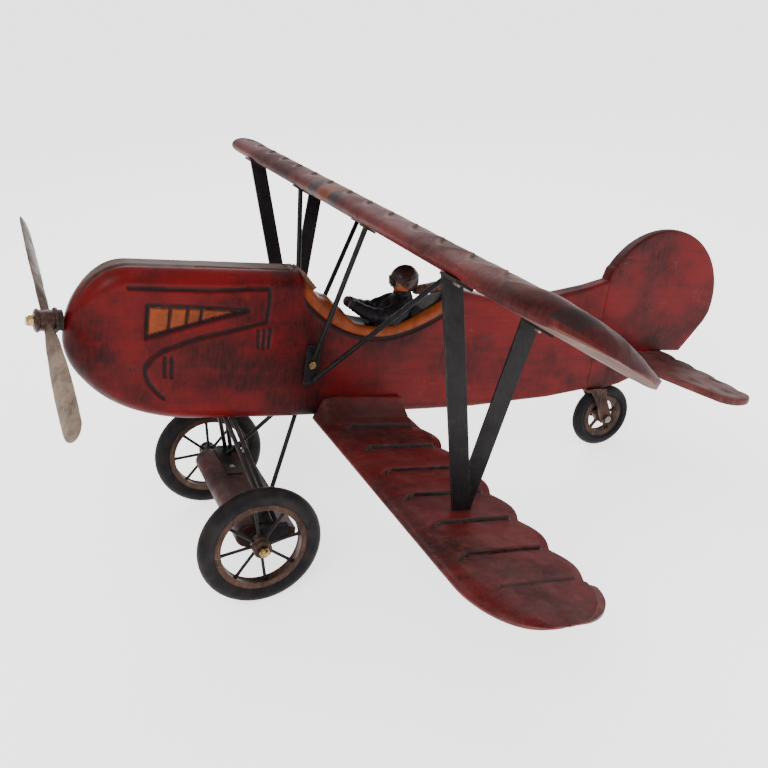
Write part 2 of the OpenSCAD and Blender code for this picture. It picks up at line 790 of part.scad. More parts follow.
module tail_fork_screw() { color("silver") stand() fork_screw_shape(); }
module tail_axle() {
    head_y = fork_y + fork_t;
    color("silver") stand() at_tail_axle() {
        cylinder(d = tail_pin_d, h = 2 * head_y + 2, center = true);
        for (s = [-1, 1]) translate([0, 0, s * (head_y + 2) - 2]) cylinder(d = 9, h = 4, $fn = 6);
    }
}
tail_rim_r = 26.5;
module tail_tyre() {
    w = tail_tyre_w;
    color("black") stand() at_tail_axle() rotate_extrude($fn = 96) {
        translate([tail_rim_r, -w / 2]) square([tail_r - tail_rim_r - w / 2, w]);
        intersection() {
            translate([tail_r - w / 2, 0]) circle(w / 2);
            translate([tail_r - w / 2 - 1, -w]) square([w, 2 * w]);
        }
    }
}
module tail_rim() {
    color("sienna") stand() at_tail_axle() difference() {
        union() {
            cylinder(r = tail_rim_r, h = 3, center = true);
            cylinder(d = 15, h = 2 * (fork_y - side_gap), center = true);
            difference() {
                cylinder(r = tail_rim_r, h = tail_tyre_w - 2, center = true);
                cylinder(r = tail_rim_r - 2.5, h = tail_tyre_w, center = true);
            }
        }
        cylinder(r = tail_pin_d / 2 + run_gap, h = far, center = true);
        for (i = [0 : 5]) rotate([0, 0, i * 60]) {
            translate([17, 0, 0]) cylinder(d = 6.5, h = far, center = true, $fn = 32);
            rotate([0, 0, 30]) translate([20, 0, 0]) cylinder(d = 2.4, h = far, center = true, $fn = 24);
        }
    }
}

// Propeller: blades and hub turn on a fixed shaft between a washer and a nut
module shaft_frame() {
    translate([0, 0, -shaft_z]) rotate([0, 0, shaft_yaw]) children();
}
module at_shaft() {
    stand() shaft_frame() rotate([0, -90, 0]) children();
}
washer_h = 4;
hub_h = 20;
hub_at = washer_h + side_gap;
blade_at = hub_at + 8.5;
blade_t = 4;
prop_hub_d = 23;
prop_nut_h = 6;
module blade() {
    r = prop_d / 2;
    root = prop_hub_d / 2 - 3;
    rotate([-blade_pitch, 0, 0]) linear_extrude(blade_t, center = true)
        polygon(concat([[root, -6], [r * 0.3, -blade_w * 0.42], [r * 0.6, -blade_w / 2]],
            arc(r - blade_w * 0.55, 0, blade_w * 0.55, blade_w / 2, -90, 90, 12),
            [[r * 0.6, blade_w / 2], [r * 0.3, blade_w * 0.42], [root, 6]]));
}
module hub_blank() {
    translate([0, 0, hub_at]) cylinder(d = prop_hub_d - 4, h = hub_h);
    translate([0, 0, hub_at]) cylinder(d = prop_hub_d, h = 3);
    translate([0, 0, hub_at + 16]) cylinder(d = prop_hub_d - 2, h = 2.5);
}
module propeller_blades() {
    color("tan") at_shaft() difference() {
        rotate([0, 0, prop_rest]) translate([0, 0, blade_at])
            for (i = [0, 1]) rotate([0, 0, 180 * i]) blade();
        hub_blank();
    }
}
module propeller_hub() {
    color("sienna") at_shaft() difference() {
        hub_blank();
        cylinder(r = shaft_d / 2 + run_gap, h = far);
    }
}
module propeller_shaft() {
    color("silver") at_shaft() translate([0, 0, -70])
        cylinder(d = shaft_d, h = 70 + hub_at + hub_h + side_gap + prop_nut_h - 1);
}
module propeller_nut() {
    color("gold") at_shaft() translate([0, 0, hub_at + hub_h + side_gap]) difference() {
        union() {
            cylinder(d = 9 / cos(30), h = prop_nut_h - 2, $fn = 6);
            cylinder(d = 8, h = prop_nut_h);
        }
        translate([0, 0, -1]) cylinder(d = shaft_d, h = prop_nut_h);
    }
}
module propeller_washer() {
    color("black") at_shaft() difference() {
        translate([0, 0, 0.2]) cylinder(d = 19, h = washer_h - 0.2);
        translate([0, 0, -1]) cylinder(d = shaft_d, h = 40);
    }
}

fuselage();
tail_fin();
tailplane();
upper_wing();
lower_wing_left();
lower_wing_right();
wing_dowels();
cockpit_ledge();
cockpit_bolster();
pilot_body();
pilot_head();
pilot_goggles();
strut_front_left();
strut_front_right();
strut_rear_left();
strut_rear_right();
strut_screws_left();
strut_screws_right();
cabane_front_left();
cabane_front_right();
cabane_rear_left();
cabane_rear_right();
cabane_plate_left();
cabane_plate_right();
plate_screw_left();
plate_screw_right();
gear_front_rods_left();
gear_front_rods_right();
gear_rear_rod_left();
gear_rear_rod_right();
gear_lug_left();
gear_lug_right();
axle_fairing();
fairing_plates();
fairing_screws();
axle();
tyre_left();
tyre_right();
rim_left();
rim_right();
spokes_left();
spokes_right();
hub_left();
hub_right();
wheel_nut_left();
wheel_nut_right();
tail_fork();
tail_fork_screw();
tail_axle();
tail_tyre();
tail_rim();
propeller_blades();
propeller_hub();
propeller_shaft();
propeller_nut();
propeller_washer();
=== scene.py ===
"""Aged, hand-painted finish and carved surfaces for a wooden biplane display model."""

import json
import math

import bmesh
import bpy
import numpy as np
from mathutils import Matrix, Vector


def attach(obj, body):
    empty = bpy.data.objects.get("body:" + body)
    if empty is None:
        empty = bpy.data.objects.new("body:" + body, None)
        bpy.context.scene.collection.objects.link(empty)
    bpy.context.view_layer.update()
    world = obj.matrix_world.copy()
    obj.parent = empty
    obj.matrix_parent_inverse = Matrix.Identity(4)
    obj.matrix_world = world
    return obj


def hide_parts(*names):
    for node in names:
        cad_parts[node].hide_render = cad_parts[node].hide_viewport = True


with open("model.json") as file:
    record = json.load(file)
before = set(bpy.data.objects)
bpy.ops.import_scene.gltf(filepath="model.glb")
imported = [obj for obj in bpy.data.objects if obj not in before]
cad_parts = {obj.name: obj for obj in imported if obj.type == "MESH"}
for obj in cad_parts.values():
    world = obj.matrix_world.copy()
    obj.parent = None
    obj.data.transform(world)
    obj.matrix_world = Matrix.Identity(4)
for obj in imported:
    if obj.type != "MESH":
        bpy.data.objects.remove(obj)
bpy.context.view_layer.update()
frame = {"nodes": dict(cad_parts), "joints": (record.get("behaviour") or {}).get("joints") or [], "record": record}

bl_info = {
    "name": "Carved Biplane Model",
    "version": (1, 0, 0),
    "blender": (4, 5, 0),
    "location": "View3D > Sidebar > Biplane",
    "description": "Builds the carved, aged surfaces of a wooden biplane over its packed parts",
    "category": "Object",
}

# ---------------------------------------------------------------- frame of the airframe
# Airframe millimetres: x aft from the nose face, y to starboard, z up from the top deck.
JOINTS = {j["name"]: j for j in frame["joints"]}
SLOT_OF = {s["node"]: s["material_slot"] for s in frame["record"]["subparts"]}
BODY_OF = {n: body for body, nodes in frame["record"]["behaviour"]["bodies"].items() for n in nodes}
AXLE = np.array([170.0, 0.0, -243.0])
TAIL_AXLE = np.array([622.0, 0.0, -169.5])
UPPER_WING_TILT = math.radians(23.75)
UPPER_WING_FRONT = (231.0, 64.7)
BELLY_OF_LOWER_WING = -154.0
LOWER_WING_FRONT = 239.0
PROPELLER_REST = 61.7
SHAFT_YAW = math.radians(6.0)
SHAFT_DROP = 56.0
BLADE_AT = 12.8
# The camera stands here, turned by azimuth, elevation and roll in degrees
CAMERA_SPOT = (-85.13, -811.79, 206.90)
CAMERA_TURN = (-26.93, 19.83, 8.61)


def stance():
    """Rotation and offset from airframe millimetres to world metres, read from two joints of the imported
    model."""
    axis = JOINTS["propeller_spin"]["axis"]
    pitch = math.atan2(axis[2], -axis[0])
    c, s = math.cos(pitch), math.sin(pitch)
    turn = np.array([[c, 0, s], [0, 1, 0], [-s, 0, c]])
    port = np.array(JOINTS["left_wheel_spin"]["pos_m"])
    here = turn @ (AXLE / 1000)
    return turn, np.array([port[0] - here[0], 0, port[2] - here[2]])


TURN, OFFSET = stance()


def place(points):
    """Airframe millimetres to world metres, whole arrays."""
    return (points / 1000) @ TURN.T + OFFSET


# ---------------------------------------------------------------- numeric helpers
def smooth(lo, hi, v):
    """Zero below lo, one above hi, with a smooth cubic between."""
    t = np.clip((v - lo) / (hi - lo), 0, 1)
    return t * t * (3 - 2 * t)


def line_distance(x, z, points):
    """Distance of each (x, z) to a polyline through the points."""
    best = np.full(np.broadcast(x, z).shape, 1e9)
    for (ax, az), (bx, bz) in zip(points[:-1], points[1:]):
        dx, dz = bx - ax, bz - az
        t = np.clip(((x - ax) * dx + (z - az) * dz) / (dx * dx + dz * dz), 0, 1)
        best = np.minimum(best, np.hypot(x - ax - t * dx, z - az - t * dz))
    return best


def ripple(x, y, z, size, seed=0):
    """Sum of five skewed sine waves, about -1 to 1: the slow unevenness a spokeshave leaves."""
    k = 2 * np.pi / size
    total = 0
    for i in range(5):
        a = 1.7 * i + seed
        total = total + np.sin(
            k * (1 + 0.37 * i) * (x * np.cos(a) + y * np.sin(a * 1.3) + z * np.sin(a)) + 2.1 * a
        )
    return total / 5


def ring(count):
    """Angles evenly round a circle, without the repeated last one."""
    return np.arange(count) * (2 * np.pi / count)


def grid_faces(rows, cols, wrap_rows=False, wrap_cols=True):
    """Quads of a rows by cols grid of vertices, wrapping where asked."""
    i = np.arange(rows if wrap_rows else rows - 1)[:, None]
    j = np.arange(cols if wrap_cols else cols - 1)[None, :]
    i2, j2 = (i + 1) % rows, (j + 1) % cols
    quads = np.stack([i * cols + j, i * cols + j2, i2 * cols + j2, i2 * cols + j], -1)
    return quads.reshape(-1, 4)


def capped(grid):
    """Adds the middle of the first and last rings as poles, so that the tube is closed."""
    first = np.broadcast_to(grid[:1].mean(1, keepdims=True), grid[:1].shape)
    last = np.broadcast_to(grid[-1:].mean(1, keepdims=True), grid[-1:].shape)
    return np.concatenate([first, grid, last])


def build(name, grids, finish, nodes, sharp=40, stands_in=True):
    """Makes one mesh from grids of (points, paint, wrap_rows) in airframe millimetres, welds its poles,
    turns its faces outward and lets it ride with the nodes given. It stands for them unless stands_in is
    False."""
    verts, faces, paints, start = [], [], [], 0
    for points, paint, wrap_rows in grids:
        rows, cols = points.shape[:2]
        faces.append(grid_faces(rows, cols, wrap_rows) + start)
        verts.append(points.reshape(-1, 3))
        paints.append(np.zeros((rows * cols, 4)) if paint is None else paint.reshape(-1, 4))
        start += rows * cols
    verts, faces, paints = np.concatenate(verts), np.concatenate(faces), np.concatenate(paints)
    mesh = bpy.data.meshes.new(name)
    mesh.from_pydata(place(verts).tolist(), [], faces.tolist())
    colours = mesh.attributes.new("paint", "FLOAT_COLOR", "POINT")
    colours.data.foreach_set("color", paints.astype(np.float32).ravel())
    grain = mesh.attributes.new("air", "FLOAT_VECTOR", "POINT")
    grain.data.foreach_set("vector", (verts / 1000).astype(np.float32).ravel())
    shaped = bmesh.new()
    shaped.from_mesh(mesh)
    bmesh.ops.remove_doubles(shaped, verts=shaped.verts, dist=2e-6)
    bmesh.ops.dissolve_degenerate(shaped, edges=shaped.edges, dist=1e-7)
    bmesh.ops.recalc_face_normals(shaped, faces=shaped.faces)
    shaped.to_mesh(mesh)
    shaped.free()
    mesh.polygons.foreach_set("use_smooth", [True] * len(mesh.polygons))
    mesh.set_sharp_from_angle(angle=math.radians(sharp))
    piece = bpy.data.objects.new(name.replace(" ", "_"), mesh)
    bpy.context.scene.collection.objects.link(piece)
    mesh.materials.append(MATERIALS[finish])
    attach(piece, BODY_OF[nodes[0]])
    if stands_in:
        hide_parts(*nodes)
    return piece


# ---------------------------------------------------------------- shader helpers
def linear(*rgb):
    """Linear colour of 0-255 display values."""
    v = np.array(rgb) / 255
    v = np.where(v <= 0.04045, v / 12.92, ((v + 0.055) / 1.055) ** 2.4)
    return (*[float(x) for x in v], 1.0)


class Tree:
    """Adds shader nodes with their socket values set, and links them by socket name."""

    def __init__(self, tree):
        self.tree = tree

    def add(self, kind, attrs=(), **sockets):
        node = self.tree.nodes.new(kind)
        for key, value in dict(attrs).items():
            setattr(node, key, value)
        for key, value in sockets.items():
            self.put(node, key.replace("_", " "), value)
        return node

    def put(self, node, key, value):
        socket = node.inputs[int(key[1:])] if key[0] == "#" else node.inputs[key]
        if isinstance(value, bpy.types.NodeSocket):
            self.tree.links.new(value, socket)
        else:
            socket.default_value = value

    def math(self, operation, a, b=0.0):
        node = self.add("ShaderNodeMath", {"operation": operation})
        self.put(node, "#0", a)
        self.put(node, "#1", b)
        return node.outputs[0]

    def mix(self, factor, a, b):
        node = self.add("ShaderNodeMix", {"data_type": "RGBA"})
        self.put(node, "#0", factor)
        self.put(node, "#6", a)
        self.put(node, "#7", b)
        return node.outputs[2]

    def span(self, value, lo, hi, to_lo=0.0, to_hi=1.0):
        node = self.add("ShaderNodeMapRange", {"interpolation_type": "SMOOTHSTEP"})
        for key, v in zip(("#0", "#1", "#2", "#3", "#4"), (value, lo, hi, to_lo, to_hi)):
            self.put(node, key, v)
        return node.outputs[0]

    def noise(self, vector, scale, detail=4.0, rough=0.6):
        node = self.add("ShaderNodeTexNoise", Scale=scale, Detail=detail, Roughness=rough)
        self.put(node, "Vector", vector)
        return node.outputs[0]

    def stretch(self, vector, x, y, z):
        node = self.add("ShaderNodeMapping", {"vector_type": "POINT"})
        self.put(node, "Vector", vector)
        node.inputs["Scale"].default_value = (x, y, z)
        return node.outputs[0]


def node_group(name, inputs, outputs):
    """An empty group with named sockets. Each is (name, socket type, default)."""
    group = bpy.data.node_groups.new(name, "ShaderNodeTree")
    for label, kind, default in inputs:
        socket = group.interface.new_socket(label, in_out="INPUT", socket_type=kind)
        if default is not None:
            socket.default_value = default
    for label, kind in outputs:
        group.interface.new_socket(label, in_out="OUTPUT", socket_type=kind)
    t = Tree(group)
    return t, t.add("NodeGroupInput"), t.add("NodeGroupOutput")


F, C, V = "NodeSocketFloat", "NodeSocketColor", "NodeSocketVector"


def make_mottle():
    """Three blended tones: broad clouds, then finer blotches, as paint rubbed back over a dark ground."""
    t, i, o = node_group(
        "Mottle",
        [("Vector", V, None), ("Scale", F, 12.0), ("Dark", C, None), ("Mid", C, None), ("Light", C, None)],
        [("Color", C), ("Cloud", F)],
    )
    broad = t.noise(i.outputs["Vector"], i.outputs["Scale"], 5.0, 0.62)
    fine = t.noise(i.outputs["Vector"], t.math("MULTIPLY", i.outputs["Scale"], 6.5), 6.0, 0.7)
    cloud = t.span(broad, 0.34, 0.62)
    tone = t.mix(cloud, i.outputs["Dark"], i.outputs["Mid"])
    tone = t.mix(t.math("MULTIPLY", t.span(fine, 0.5, 0.74), 0.55), tone, i.outputs["Light"])
    t.put(o, "Color", tone)
    t.put(o, "Cloud", cloud)
    return t.tree


def make_grain():
    """Long streaks: noise pulled out along the airframe, with a fine cross weave of brush marks."""
    t, i, o = node_group("Grain", [("Vector", V, None), ("Density", F, 60.0)], [("Streak", F), ("Weave", F)])
    along = t.stretch(i.outputs["Vector"], 0.12, 1.0, 1.6)
    streak = t.noise(along, i.outputs["Density"], 5.0, 0.65)
    across = t.stretch(i.outputs["Vector"], 1.0, 1.0, 0.22)
    weave = t.noise(across, t.math("MULTIPLY", i.outputs["Density"], 6.0), 2.0, 0.5)
    t.put(o, "Streak", streak)
    t.put(o, "Weave", weave)
    return t.tree


def make_edge_wear():
    """How far a rounded normal leans from the true one, broken up by noise: one on rubbed edges."""
    t, i, o = node_group("Edge wear", [("Vector", V, None), ("Radius", F, 0.0015), ("Amount", F, 1.0)],
                         [("Mask", F)])
    bevel = t.add("ShaderNodeBevel", {"samples": 4})
    t.put(bevel, "Radius", i.outputs["Radius"])
    true = t.add("ShaderNodeNewGeometry")
    dot = t.add("ShaderNodeVectorMath", {"operation": "DOT_PRODUCT"})
    t.put(dot, "#0", bevel.outputs[0])
    t.put(dot, "#1", true.outputs["Normal"])
    lean = t.span(dot.outputs["Value"], 0.995, 0.86)
    broken = t.span(t.noise(i.outputs["Vector"], 140.0, 5.0, 0.7), 0.38, 0.62)
    t.put(o, "Mask", t.math("MULTIPLY", t.math("MULTIPLY", lean, broken), i.outputs["Amount"]))
    return t.tree


def make_dust():
    """Pale film on faces that look up, patchy with noise."""
    t, i, o = node_group("Dust", [("Vector", V, None), ("Amount", F, 0.3)], [("Mask", F)])
    true = t.add("ShaderNodeNewGeometry")
    parts = t.add("ShaderNodeSeparateXYZ")
    t.put(parts, "#0", true.outputs["Normal"])
    up = t.span(parts.outputs["Z"], 0.25, 1.0)
    patch = t.span(t.noise(i.outputs["Vector"], 34.0, 6.0, 0.7), 0.35, 0.75)
    t.put(o, "Mask", t.math("MULTIPLY", t.math("MULTIPLY", up, patch), i.outputs["Amount"]))
    return t.tree


def make_scratches():
    """Thin pale hairlines: two narrow bands cut out of stretched noise."""
    t, i, o = node_group("Scratches", [("Vector", V, None), ("Amount", F, 0.4)], [("Mask", F)])
    a = t.noise(t.stretch(i.outputs["Vector"], 3.0, 3.0, 26.0), 7.0, 3.0, 0.5)
    b = t.noise(t.stretch(i.outputs["Vector"], 30.0, 30.0, 4.0), 5.0, 3.0, 0.5)
    near = t.math("ABSOLUTE", t.math("SUBTRACT", a, 0.5))
    also = t.math("ABSOLUTE", t.math("SUBTRACT", b, 0.52))
    line = t.math("MAXIMUM", t.span(near, 0.006, 0.0), t.span(also, 0.004, 0.0))
    gate = t.span(t.noise(i.outputs["Vector"], 22.0, 2.0, 0.5), 0.56, 0.68)
    t.put(o, "Mask", t.math("MULTIPLY", t.math("MULTIPLY", line, gate), i.outputs["Amount"]))
    return t.tree


GROUPS = {}


def ready_groups():
    """Makes the shared groups once."""
    if not GROUPS:
        for name, make in (("mottle", make_mottle), ("grain", make_grain), ("edge", make_edge_wear),
                           ("dust", make_dust), ("scratch", make_scratches)):
            GROUPS[name] = make()


def use_group(t, name, vector, **sockets):
    """One instance of a shared group, reading its coordinates from vector."""
    node = t.add("ShaderNodeGroup", {"node_tree": GROUPS[name]})
    t.put(node, "Vector", vector)
    for key, value in sockets.items():
        t.put(node, key, value)
    return node


def aged(name, tones, rough=(0.4, 0.6), metal=0.0, scale=12.0, worn=None, wear=0.7, dust=0.15, bump=0.3,
         layers=None, radius=0.0015, coat=0.0, carved=False, scratch=0.4, grain=60.0):
    """An aged finish: mottled tones, grain, painted layers from the paint attribute, rubbed edges,
    scratches and dust, over a bump of grain and blotches. tones are dark, middle and light, worn is the
    colour of rubbed edges, and layers gives the colours of the attribute's four channels."""
    dark, mid, light = (linear(*tone) for tone in tones)
    rub = linear(*worn) if worn else light
    ready_groups()
    material = bpy.data.materials.new(name)
    material.use_nodes = True
    material.node_tree.nodes.clear()
    t = Tree(material.node_tree)
    if carved:
        where = t.add("ShaderNodeAttribute", {"attribute_name": "air"}).outputs["Vector"]
    else:
        where = t.add("ShaderNodeTexCoord").outputs["Object"]
    mottle = use_group(t, "mottle", where, Scale=scale, Dark=dark, Mid=mid, Light=light)
    grains = use_group(t, "grain", where, Density=grain)
    tone = mottle.outputs["Color"]
    tone = t.mix(t.span(grains.outputs["Streak"], 0.46, 0.7, 0.0, 0.5), tone, dark)
    tone = t.mix(t.span(grains.outputs["Weave"], 0.3, 0.7, 0.0, 0.22), tone, light)
    if layers:
        channels = t.add("ShaderNodeAttribute", {"attribute_name": "paint"})
        split = t.add("ShaderNodeSeparateColor")
        t.put(split, "#0", channels.outputs["Color"])
        broken = t.span(t.noise(where, 90.0, 5.0, 0.7), 0.25, 0.6, 0.72, 1.0)
        first, second, third, fourth = (linear(*colour) for colour in layers)
        masks = (split.outputs[1], split.outputs[2], channels.outputs["Alpha"], split.outputs[0])
        for mask, colour in zip(masks, (second, third, fourth, first)):
            varied = t.mix(t.span(t.noise(where, 55.0, 5.0, 0.7), 0.35, 0.7, 0.0, 0.45), colour, dark)
            tone = t.mix(t.math("MULTIPLY", mask, broken), tone, varied)
    edges = use_group(t, "edge", where, Radius=radius, Amount=wear)
    tone = t.mix(edges.outputs["Mask"], tone, rub)
    hair = use_group(t, "scratch", where, Amount=scratch)
    tone = t.mix(hair.outputs["Mask"], tone, rub)
    film = use_group(t, "dust", where, Amount=dust)
    tone = t.mix(film.outputs["Mask"], tone, linear(120, 104, 96))
    blotch = t.math("ADD", mottle.outputs["Cloud"], grains.outputs["Streak"])
    shine = t.span(blotch, 0.3, 1.5, rough[1], rough[0])
    height = t.math("ADD", t.math("MULTIPLY", grains.outputs["Streak"], 0.5),
                    t.math("MULTIPLY", t.noise(where, scale * 14, 6.0, 0.65), 0.6))
    height = t.math("SUBTRACT", height, t.math("MULTIPLY", hair.outputs["Mask"], 0.5))
    lift = t.add("ShaderNodeBump", Strength=bump, Distance=0.0008)
    t.put(lift, "Height", height)
    surface = t.add("ShaderNodeBsdfPrincipled", Metallic=metal)
    t.put(surface, "Base Color", tone)
    t.put(surface, "Roughness", shine)
    t.put(surface, "Normal", lift.outputs[0])
    surface.inputs["Coat Weight"].default_value = coat
    surface.inputs["Specular IOR Level"].default_value = 0.1
    surface.inputs["Coat Roughness"].default_value = 0.3
    out = t.add("ShaderNodeOutputMaterial")
    t.put(out, "Surface", surface.outputs[0])
    return material


# Display values, 0 to 255, of the tones that several finishes share
RED_DARK = (26, 2, 3)
RED_MID = (86, 1, 3)
RED_LIGHT = (92, 8, 9)
# Near-black of the painted lines and seams, and of painted shade in folds, creases, step troughs and the strut
# slots
LINE_AND_SHADE_BLACK = (5, 3, 4)
ORANGE = (118, 54, 20)
TAN = (70, 44, 34)
# Near-black of painted shade in the cockpit well, along the belly and at the fairing's ends, and of dark rubs
SHADE_AND_RUB_BLACK = (5, 4, 4)
RUBBED = (118, 74, 62)
REDS = (RED_DARK, RED_MID, RED_LIGHT)
PAINTS = (LINE_AND_SHADE_BLACK, ORANGE, TAN, SHADE_AND_RUB_BLACK)
FINISHES = {
    "red_body": dict(
        tones=REDS, rough=(0.34, 0.52), worn=RUBBED, coat=0.03, layers=PAINTS, carved=True,
        radius=0.0022, wear=0.55, dust=0.03
    ),
    # Its fourth layer lightens the underside, the sunk panels and the step lips, the lips partly as painted
    # highlight.
    "red_wing": dict(
        tones=((36, 9, 10), (78, 12, 13), (88, 42, 38)), rough=(0.45, 0.65), worn=(150, 116, 104),
        layers=(LINE_AND_SHADE_BLACK, (96, 42, 18), (34, 29, 29), (106, 74, 62)), carved=True, radius=0.002,
        wear=0.6, dust=0.08
    ),
    # Its fourth layer darkens the underside and is painted shade at the root and in each lap.
    "red_lower": dict(
        tones=((36, 11, 12), (84, 16, 19), (102, 46, 42)), rough=(0.38, 0.58), worn=RUBBED, coat=0.12,
        layers=(LINE_AND_SHADE_BLACK, ORANGE, TAN, (52, 26, 24)), carved=True, radius=0.002, wear=0.45, dust=0.1
    ),
    "tail_wood": dict(
        tones=((52, 24, 24), (88, 42, 41), (108, 76, 70)), rough=(0.4, 0.6), worn=RUBBED,
        layers=PAINTS, carved=True, dust=0.12
    ),
    "fairing_wood": dict(
        tones=((28, 14, 15), (62, 24, 26), (84, 48, 44)), rough=(0.4, 0.62), worn=RUBBED,
        layers=PAINTS, carved=True
    ),
    "bare_wood": dict(
        tones=((120, 88, 58), (160, 124, 84), (190, 156, 112)), rough=(0.5, 0.7)
    ),
    "grey_wood": dict(
        tones=((40, 26, 22), (78, 54, 44), (104, 82, 68)), rough=(0.5, 0.7), worn=(120, 96, 80),
        dust=0.08
    ),
    "brown_leather": dict(
        tones=((30, 18, 15), (62, 38, 30), (92, 64, 50)), rough=(0.34, 0.56), scale=40.0, bump=0.6,
        carved=True, layers=PAINTS
    ),
    "jacket_paint": dict(
        tones=((8, 8, 11), (15, 15, 19), (34, 33, 38)), rough=(0.28, 0.5), scale=30.0, bump=0.5,
        carved=True, layers=(LINE_AND_SHADE_BLACK, (52, 30, 24), TAN, SHADE_AND_RUB_BLACK), dust=0.03
    ),
    # Its first layer darkens the mouth line and helmet seam, and is painted shade in the eye sockets and round the
    # face.
    "helmet_paint": dict(
        tones=((18, 10, 10), (38, 20, 18), (62, 38, 32)), rough=(0.26, 0.46), scale=34.0, bump=0.35,
        carved=True, coat=0.2, layers=((26, 14, 12), (142, 76, 46), (54, 44, 40), SHADE_AND_RUB_BLACK), dust=0.03
    ),
    "goggle_frame": dict(
        tones=((40, 32, 28), (74, 60, 50), (120, 102, 86)), rough=(0.25, 0.45), metal=0.6, scale=40.0,
        carved=True, layers=PAINTS
    ),
    "black_iron": dict(
        tones=((12, 11, 14), (22, 20, 24), (42, 34, 31)), rough=(0.34, 0.55), metal=0.08, scale=26.0,
        worn=(92, 76, 62), wear=0.7, bump=0.25, radius=0.0008
    ),
    "brown_iron": dict(
        tones=((30, 22, 20), (58, 40, 34), (98, 74, 60)), rough=(0.3, 0.55), metal=0.35, scale=30.0,
        worn=(140, 112, 88), wear=0.7, radius=0.0008, carved=True
    ),
    "fork_iron": dict(
        tones=((30, 20, 18), (56, 36, 30), (92, 66, 54)), rough=(0.3, 0.55), metal=0.35, scale=30.0,
        worn=(140, 112, 88), wear=0.7, radius=0.0008
    ),
    "steel": dict(
        tones=((84, 78, 70), (124, 116, 106), (160, 152, 140)), rough=(0.26, 0.45), metal=1.0,
        scale=60.0, worn=(210, 206, 198), radius=0.0004, bump=0.15
    ),
    "brass": dict(
        tones=((110, 86, 48), (162, 134, 84), (200, 176, 128)), rough=(0.2, 0.38), metal=1.0,
        scale=60.0, worn=(240, 226, 190), radius=0.0004, bump=0.12
    ),
    "tyre_rubber": dict(
        tones=((8, 7, 9), (15, 14, 17), (30, 27, 29)), rough=(0.48, 0.7), scale=22.0,
        worn=(78, 68, 64), wear=0.4, dust=0.08, carved=True, bump=0.45,
        layers=(LINE_AND_SHADE_BLACK, (66, 50, 44), TAN, SHADE_AND_RUB_BLACK)
    ),
    # Its first layer darkens the blades towards the hub, and is painted shade over the whole first blade.
    "cast_alloy": dict(
        tones=((84, 70, 60), (126, 108, 94), (152, 136, 122)), rough=(0.36, 0.54), metal=0.4,
        scale=50.0, worn=(176, 160, 144), wear=0.6, bump=0.25, carved=True,
        layers=((48, 36, 32), ORANGE, TAN, SHADE_AND_RUB_BLACK), radius=0.0008
    ),
    "bronze": dict(
        tones=((28, 19, 18), (52, 35, 33), (98, 74, 62)), rough=(0.24, 0.44), metal=0.5, scale=40.0,
        worn=(150, 120, 98), carved=True, radius=0.0008
    ),
}
MATERIALS = {}


def make_materials():
    """Makes every finish of the table, under the name of its entry."""
    for name, values in FINISHES.items():
        MATERIALS[name] = aged(name.replace("_", " ").capitalize(), **values)


# ---------------------------------------------------------------- fuselage and tail
def deck_height(x):
    """Top of the slab in side view: a quarter ellipse, the flat deck, the saddle and the rear deck's slow
    rise."""
    nose = -70 + 70 * np.sqrt(np.clip(1 - ((55 - x) / 55) ** 2, 0, 1))
    fore = -52 * (1 - np.clip((302 - x) / 91, 0, 1) ** 2.3)
    rear = -52 + 38 * np.clip((x - 302) / 83, 0, 1) ** 1.7
    aft = np.interp(x, [385, 400, 430, 454, 480, 520, 555, 583], [-14, -17, -23, -26.5, -25, -18, -10, -1])
    return np.where(x < 55, nose, np.where(x < 211, 0, np.where(x < 302, fore, np.where(x < 385, rear, aft))))


def belly_height(x):
    """Bottom of the slab in side view: a quarter-ellipse chin, then the flat belly curving up to the tail."""
    chin = -70 - 78 * np.sqrt(np.clip(1 - ((122 - x) / 122) ** 2, 0, 1))
    flat = np.interp(x, [122, 370, 430, 484, 531, 583], [-148, -148, -147.5, -143.5, -140.5, -133])
    return np.where(x < 122, chin, flat)


def side_width(x):
    """Half width in plan: a half-ellipse nose, straight sides, then a straight taper from the cockpit aft."""
    nose = 25 * np.sqrt(np.clip(1 - ((45 - x) / 45) ** 2, 0, 1))
    return np.where(x < 45, nose, 25 - np.clip(x - 212, 0, 448) * (20 / 448))


COWL = [(52, -18), (90, -18.8), (130, -18.5), (160, -16.5), (180, -16), (181, -30), (180, -48), (150, -56),
        (118, -64), (86, -76), (75, -84), (70, -92), (70, -99), (73, -107), (80, -116), (88, -123)]
CELL_TOP = [(69, -34), (112, -35), (161, -37)]
CELL_LOW = [(69, -64), (112, -51), (161, -37)]
DIVIDERS = [(89.5, -36, -57), (105.3, -36, -53), (118, -36, -49)]
SLASHES = [[(87, -83), (88, -101)], [(93.5, -84), (94, -102)], [(173, -57), (174, -73)],
           [(179, -57), (179, -74)],
           [(185, -56), (184, -72)], [(33, -118), (45, -129)]]


